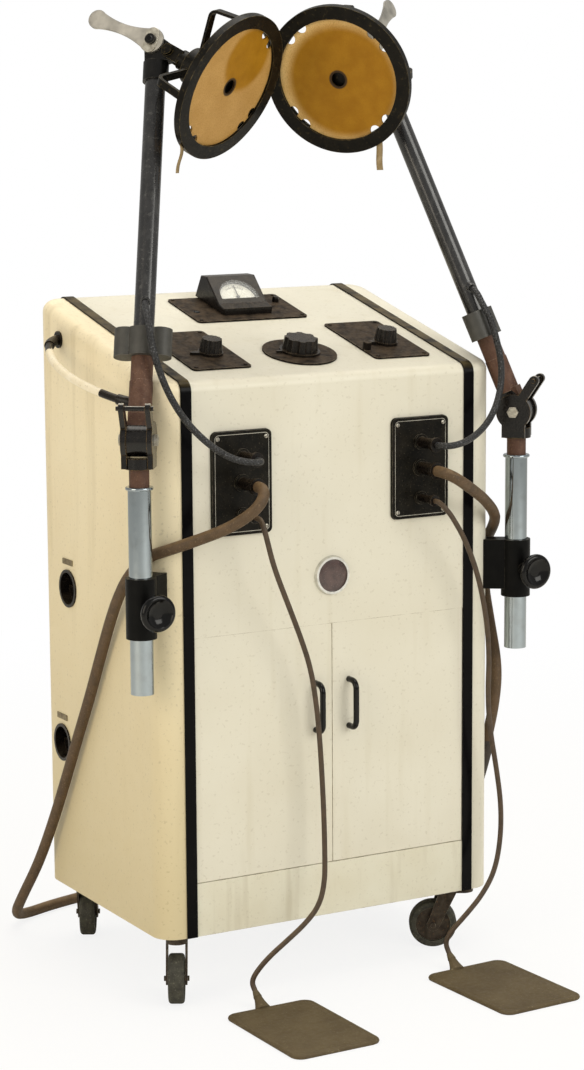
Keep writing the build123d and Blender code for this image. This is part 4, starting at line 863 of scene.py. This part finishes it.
def buildDial(dial):
    tilt = top["slope"] + dial["tilt"]
    out = Vector((0, -math.sin(tilt), math.cos(tilt)))
    up = Vector((0, math.cos(tilt), math.sin(tilt)))
    across = Vector((1, 0, 0))
    origin = onTop(dial["x"], dial["s"], dial["h"]) - out * (dial["floor"] - dial["lift"])
    half, rise = dial["half"], dial["rise"]
    shoulder = dial["low"] + dial["straight"]
    radius = (half * half + rise * rise) / (2 * rise)
    middle = shoulder + rise - radius
    spread = math.asin(half / radius) if middle < shoulder else math.pi - math.asin(half / radius)
    steps = dial["roundSteps"]
    turns = [spread - 2 * spread * k / steps for k in range(steps + 1)]
    outline = [(-half, dial["low"]), (half, dial["low"])]
    outline += [(radius * math.sin(turn), middle + radius * math.cos(turn)) for turn in turns]
    plateFrom("meter_card", outline, origin, across, up, dial["cardThickness"], dialCard, "cabinet")
    vertices, faces = [], []

    def bar(share, near, far, wide):
        angle = math.radians(dial["sweep"] * (share - 0.5))
        line = Vector((math.sin(angle), math.cos(angle)))
        side = Vector((line.y, -line.x)) * wide / 2
        spots = [line * near - side, line * near + side, line * far + side, line * far - side]
        faces.extend(tubeFaces(2, 4, len(vertices), flipped=True))
        for level in (dial["cardThickness"] + dial["lift"], dial["cardThickness"] - dial["lift"]):
            vertices.extend(origin + across * p.x + up * (p.y + dial["pivot"]) + out * level for p in spots)

    near = dial["arcRadius"]
    for k in range(dial["marks"]):
        length, wide = dial["short"] if k % dial["longEvery"] else dial["long"]
        bar(k / (dial["marks"] - 1), near, near + length, wide)
    for k in range(dial["arcSteps"]):
        bar(k / (dial["arcSteps"] - 1), near - dial["arcWidth"], near, 2 * dial["arcWidth"])
    finishPiece(meshObject("meter_marks", vertices, faces, smooth=False), inkBlackAndSlotShade, "cabinet")


buildDial(meterDial)

# Small ring and capped post on the meter's plate
plateTop = 0.003
smallAt = {"ring": (-0.072, 0.300), "post": (0.084, 0.330)}
latheAt("meter_hole_ring", onTop(*smallAt["ring"], plateTop), offTop,
        [(-0.0004, 0.0052), (0.0005, 0.0050), (0.0006, 0.0036), (0.0001, 0.0032)], ebonite, "cabinet")
latheAt("meter_post", onTop(*smallAt["post"], plateTop), offTop,
        [(-0.0003, 0.0058), (0.006, 0.0058), (0.0085, 0.0048), (0.0088, 0.002)], bakelite, "cabinet",
        sides=6)

# Badge: a plain bare disc, slightly domed, inside its chromed rim
badge = {"z": 0.628, "y": -0.177, "radius": 0.0262, "out": 0.0022}
dome = ((0, 1), (0.0006, 0.93), (0.0011, 0.6), (0.0012, 0.1))  # rise, and share of the radius
latheAt("badge_disc", (0, badge["y"], badge["z"]), (0, -1, 0), [(0.0001, badge["radius"])]
        + [(badge["out"] + rise, badge["radius"] * share) for rise, share in dome],
        badgeEnamel, "cabinet", sides=64)


def lineFrame(name, outline, origin, wide, thick, material, body):
    # Thin raised line along an outline on the front
    count = len(outline)
    vertices, faces = [], []
    for grow, level in ((-wide / 2, 0), (-wide / 2, thick), (wide / 2, thick), (wide / 2, 0)):
        for x, y in outline:
            k = 1 + grow / math.hypot(x, y)
            vertices.append((origin[0] + x * k, origin[1] - level, origin[2] + y * k))
    for ring in range(4):
        low, high = ring * count, (ring + 1) % 4 * count
        faces += [(low + k, low + (k + 1) % count, high + (k + 1) % count, high + k) for k in range(count)]
    finishPiece(meshObject(name, vertices, faces, smooth=False), material, body)


def screwHead(name, place, axis, radius, turn, material, body):
    # A round slotted head: a low dome with its slot drawn as a flat black bar across it, painted shade
    # standing in for the cut
    profile = [(-0.0002, radius), (0.0006, radius), (0.0013, radius * 0.8), (0.0016, radius * 0.3)]
    latheAt(name, place, axis, profile, material, body, sides=20)
    # Painted shade: the slot is a flat black bar standing proud through the dome, not a cut
    axis = Vector(axis).normalized()
    line = Matrix.Rotation(turn, 3, axis) @ axis.orthogonal().normalized()
    side = axis.cross(line)
    spots = [line * a * radius * 0.86 + side * b * radius * 0.14 for a, b in fourCorners]
    vertices = [Vector(place) + p + axis * h for h in (0.0009, 0.00172) for p in spots]
    finishPiece(meshObject(name + "_slot_shade", vertices, tubeFaces(2, 4), smooth=False), inkBlackAndSlotShade, body)


# Thin line round each terminal plate, and the slotted screws of the terminal, switch and meter plates
fourCorners = ((-1, -1), (1, -1), (1, 1), (-1, 1))
terminal = {"x": 0.153, "z": 0.780, "y": -0.182, "half": (0.0445, 0.072), "corner": 0.006,
            "line": (0.0007, 0.0002)}  # its width and thickness
terminalScrews = {"apart": (0.040, 0.0665), "radius": 0.0032, "turn": 0.7, "step": 1.1}
switchScrews = {"middle": (0.155, 0.131), "apart": (0.041, 0.075), "radius": 0.0034, "turn": 0.3, "step": 0.9}
meterScrews = {"middle": (0.006, 0.311), "apart": (0.089, 0.050), "radius": 0.0030, "turn": 0.5, "step": 1.3}


def topScrews(stem, screws, side=1):
    x, s = screws["middle"]
    for k, (a, b) in enumerate(fourCorners):
        place = onTop(side * x + a * screws["apart"][0], s + b * screws["apart"][1], plateTop)
        screwHead(f"{stem}_{k}", place, offTop, screws["radius"], screws["turn"] + k * screws["step"],
                  plateBlack, "cabinet")


for hand, side in (("left", -1), ("right", 1)):
    outline = roundedOutline(*terminal["half"], terminal["corner"], perCorner=6, perSide=6)
    x, y, z = side * terminal["x"], terminal["y"], terminal["z"]
    lineFrame(f"terminal_line_{hand}", outline, (x, y, z), *terminal["line"], zincPale, "cabinet")
    for k, (a, b) in enumerate(fourCorners):
        place = (x + a * terminalScrews["apart"][0], y, z + b * terminalScrews["apart"][1])
        screwHead(f"terminal_screw_{hand}_{k}", place, (0, -1, 0), terminalScrews["radius"],
                  terminalScrews["turn"] + k * terminalScrews["step"], boltSteel, "cabinet")
for hand, side in (("left", -1), ("right", 1)):
    topScrews(f"switch_screw_{hand}", switchScrews, side)
topScrews("meter_screw", meterScrews)

# Bare label plates over the side ports
portLabel = {"x": -0.2902, "half": (0.018, 0.0045), "corner": 0.001, "thickness": 0.0012,
             "places": ((0.134, 0.6275), (0.165, 0.3775))}
for k, (y, z) in enumerate(portLabel["places"]):
    plateFrom(f"port_label_{k}", roundedOutline(*portLabel["half"], portLabel["corner"], 4, 4),
              (portLabel["x"], y, z), (0, -1, 0), (0, 0, 1), portLabel["thickness"], labelMetal, "cabinet")
print("small fittings made")


# Electrode heads: the levers' slotted plates and bolts, the discs' amber sheet, and the hanging tapes
joints = {joint["name"]: joint for joint in frame["joints"]}
leverPlate = {"half": (0.0195, 0.0105), "corner": 0.0102, "thickness": 0.0016, "turn": 74, "seat": 0.0001}
leverBolt = {"radius": 0.0048, "height": 0.005, "chamfer": 0.0008, "seat": 0.0002}

for hand, outer in (("left", -1), ("right", 1)):
    # Directions: pins along the head's pins, upArm along the arm, and toElectrode square to both
    pin = Vector(joints[f"lever_{hand}"]["pos_m"])
    pins, upArm = (Vector(joints[f"{name}_{hand}"]["axis"]) for name in ("lever", "head_turn"))
    toElectrode = pins.cross(upArm)
    out = pins * outer
    face = max((v.co - pin).dot(out) for v in nodes[f"lever_{hand}"].data.vertices)
    turn = math.radians(leverPlate["turn"])
    across = toElectrode * math.cos(turn) + upArm * math.sin(turn)
    outline = roundedOutline(*leverPlate["half"], leverPlate["corner"], 10, 4)
    plateFrom(f"lever_plate_{hand}", outline, pin + out * (face - leverPlate["seat"]), across,
              out.cross(across).normalized(), leverPlate["thickness"], zincPale, f"lever_{hand}")
    radius, height = leverBolt["radius"], leverBolt["height"]
    latheAt(f"lever_bolt_{hand}", pin + out * (face + leverPlate["thickness"] - leverBolt["seat"]), out,
            [(0, radius), (height, radius), (height + leverBolt["chamfer"], radius * 0.8)],
            ebonite, f"lever_{hand}", sides=6)

# The discs' sheet: amber, its thin parts creamy and golden with painted light as if seen through the sheet,
# and a darker round of painted shade where the plate behind would block that light;
# the shade's middle is given from the disc's, then its radius and softness, in metres
amberLook = {
    "plateShadeTones": ("#A37210", "#976706"), "flecks": ("#86600C", 1.6, 0.35), "sawn": "#3A2A16", "grain": (1.6, 0.03),
    "backlitSize": 30, "plateShadeSize": 22, "brim": (0.0145, 0.001),  # brim: the middle hole's edge, in metres
}
# Per disc: the creamy colours are painted light through the sheet, and the painted shade sits off the middle
# with its own size
discs = {
    "left": {"thin": ("#BC9355", "#B38A4C"), "backing": (0.016, 0.012, 0.050), "plateShadeReach": (0.056, 0.006)},
    "right": {"thin": ("#E0BE80", "#D6B070"), "backing": (0.006, -0.004, -0.003), "plateShadeReach": (0.086, 0.010)},
}
for hand, disc in discs.items():
    low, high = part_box(f"electrode_disc_{hand}")
    middle = (low + high) / 2
    look = {**amberLook, **disc, "middle": tuple(middle), "backing": tuple(middle + Vector(disc["backing"]))}
    dress(f"electrode_disc_{hand}", amberWithPaintedLight(f"amberClothPaintedLight{hand.capitalize()}", look))

# Short cotton tapes knotted on the rings' lower edges
tapeCut = {"width": 0.010, "thickness": 0.0006, "steps": 12, "bow": 0.0015}
tapes = {  # places in metres: top on the ring, across the tape, and how far its end swings to the side
    "left": {"top": (-0.2060, -0.1040, 1.2700), "across": (0.80, 0.60, 0), "length": 0.042,
             "swing": (-0.010, -0.006, 0)},
    "right": {"top": (0.1190, -0.1190, 1.2690), "across": (0.98, -0.20, 0), "length": 0.044,
              "swing": (0.002, 0.001, 0)},
}


def buildTape(hand, tape):
    start, across = Vector(tape["top"]), Vector(tape["across"]).normalized()
    outward = across.cross(Vector((0, 0, 1))).normalized()
    vertices = []
    for k in range(tapeCut["steps"] + 1):
        t = k / tapeCut["steps"]
        bow = Vector(tape["swing"]) * t * t + outward * tapeCut["bow"] * math.sin(2 * math.pi * t)
        spot = start + bow - Vector((0, 0, 1)) * tape["length"] * t
        vertices += [spot + across * a * tapeCut["width"] / 2 + outward * b * tapeCut["thickness"] / 2
                     for a, b in fourCorners]
    piece = meshObject(f"ring_tape_{hand}", vertices, tubeFaces(tapeCut["steps"] + 1, 4))
    finishPiece(piece, cottonTape, f"electrode_{hand}")


for hand, tape in tapes.items():
    buildTape(hand, tape)
print("heads dressed")


# Floor, background and lights
floorCorners = [(-9, -8, 0), (9, -8, 0), (9, 14, 0), (-9, 14, 0)]
shadowFade = {"from": 0.7, "to": 2.6, "near": 0.84}  # metres from the middle, and the white's share up close
roomLight = 0.50


def seenMask(tree):
    # 1 for what the camera sees, straight or through glass, and 0 for what lights or is mirrored
    rays = addNode(tree, "LightPath").outputs
    return addNode(tree, "Math", operation="MAXIMUM",
                   links={0: rays["Is Camera Ray"], 1: rays["Is Transmission Ray"]})


def buildFloor():
    material = bpy.data.materials.new("paleFloor")
    tree = emptyTree(material)
    matt = addNode(tree, "BsdfDiffuse", values={0: toLinear("#F4F2EC")})
    glow = addNode(tree, "Emission", values={0: (1, 1, 1, 1), 1: 1.0})
    # The floor fades into the white background away from the machine's shadow
    place = addNode(tree, "NewGeometry").outputs["Position"]
    away = addNode(tree, "VectorMath", operation="LENGTH", links={0: place})
    fade = addNode(tree, "MapRange", interpolation_type="SMOOTHSTEP", links={0: away.outputs["Value"]},
                   values={1: shadowFade["from"], 2: shadowFade["to"], 3: shadowFade["near"], 4: 1.0})
    share = addNode(tree, "Math", operation="MULTIPLY", links={0: seenMask(tree), 1: fade})
    mixed = addNode(tree, "MixShader", links={0: share, 1: matt, 2: glow})
    addNode(tree, "OutputMaterial", links={0: mixed})
    floor = finishPiece(meshObject("floor", floorCorners, [(0, 1, 2, 3)]), material)


def buildRoom():
    world = bpy.data.worlds.new("room")
    bpy.context.scene.world = world
    tree = emptyTree(world)
    soft = addNode(tree, "Background", values={0: toLinear("#FFFDF8"), 1: roomLight})
    white = addNode(tree, "Background", values={0: (1, 1, 1, 1), 1: 1.0})
    mixed = addNode(tree, "MixShader", links={0: seenMask(tree), 1: soft, 2: white})
    addNode(tree, "OutputWorld", links={0: mixed})


def addLamp(name, place, target, size, power, colour):
    data = bpy.data.lights.new(name, "AREA")
    data.shape = "RECTANGLE"
    data.size, data.size_y = size
    data.energy = power
    data.color = toLinear(colour)[:3]
    lamp = linkObject(name, data)
    lamp.location = place
    lamp.rotation_euler = (Vector(target) - Vector(place)).to_track_quat("-Z", "Y").to_euler()


buildFloor()
buildRoom()
addLamp("topSoftbox", (0.4, 0.3, 4.2), (0, 0, 0.8), (3.0, 3.0), 92, "#FFFAF0")
addLamp("frontSoftbox", (1.6, -4.2, 2.6), (0, 0, 0.7), (2.6, 2.2), 84, "#FFFDF6")
addLamp("leftFill", (-3.6, -1.2, 1.9), (0, 0, 0.7), (2.0, 2.4), 48, "#FFF2DC")

scene = bpy.context.scene
scene.view_settings.view_transform = "Standard"
print("stage and lights set")
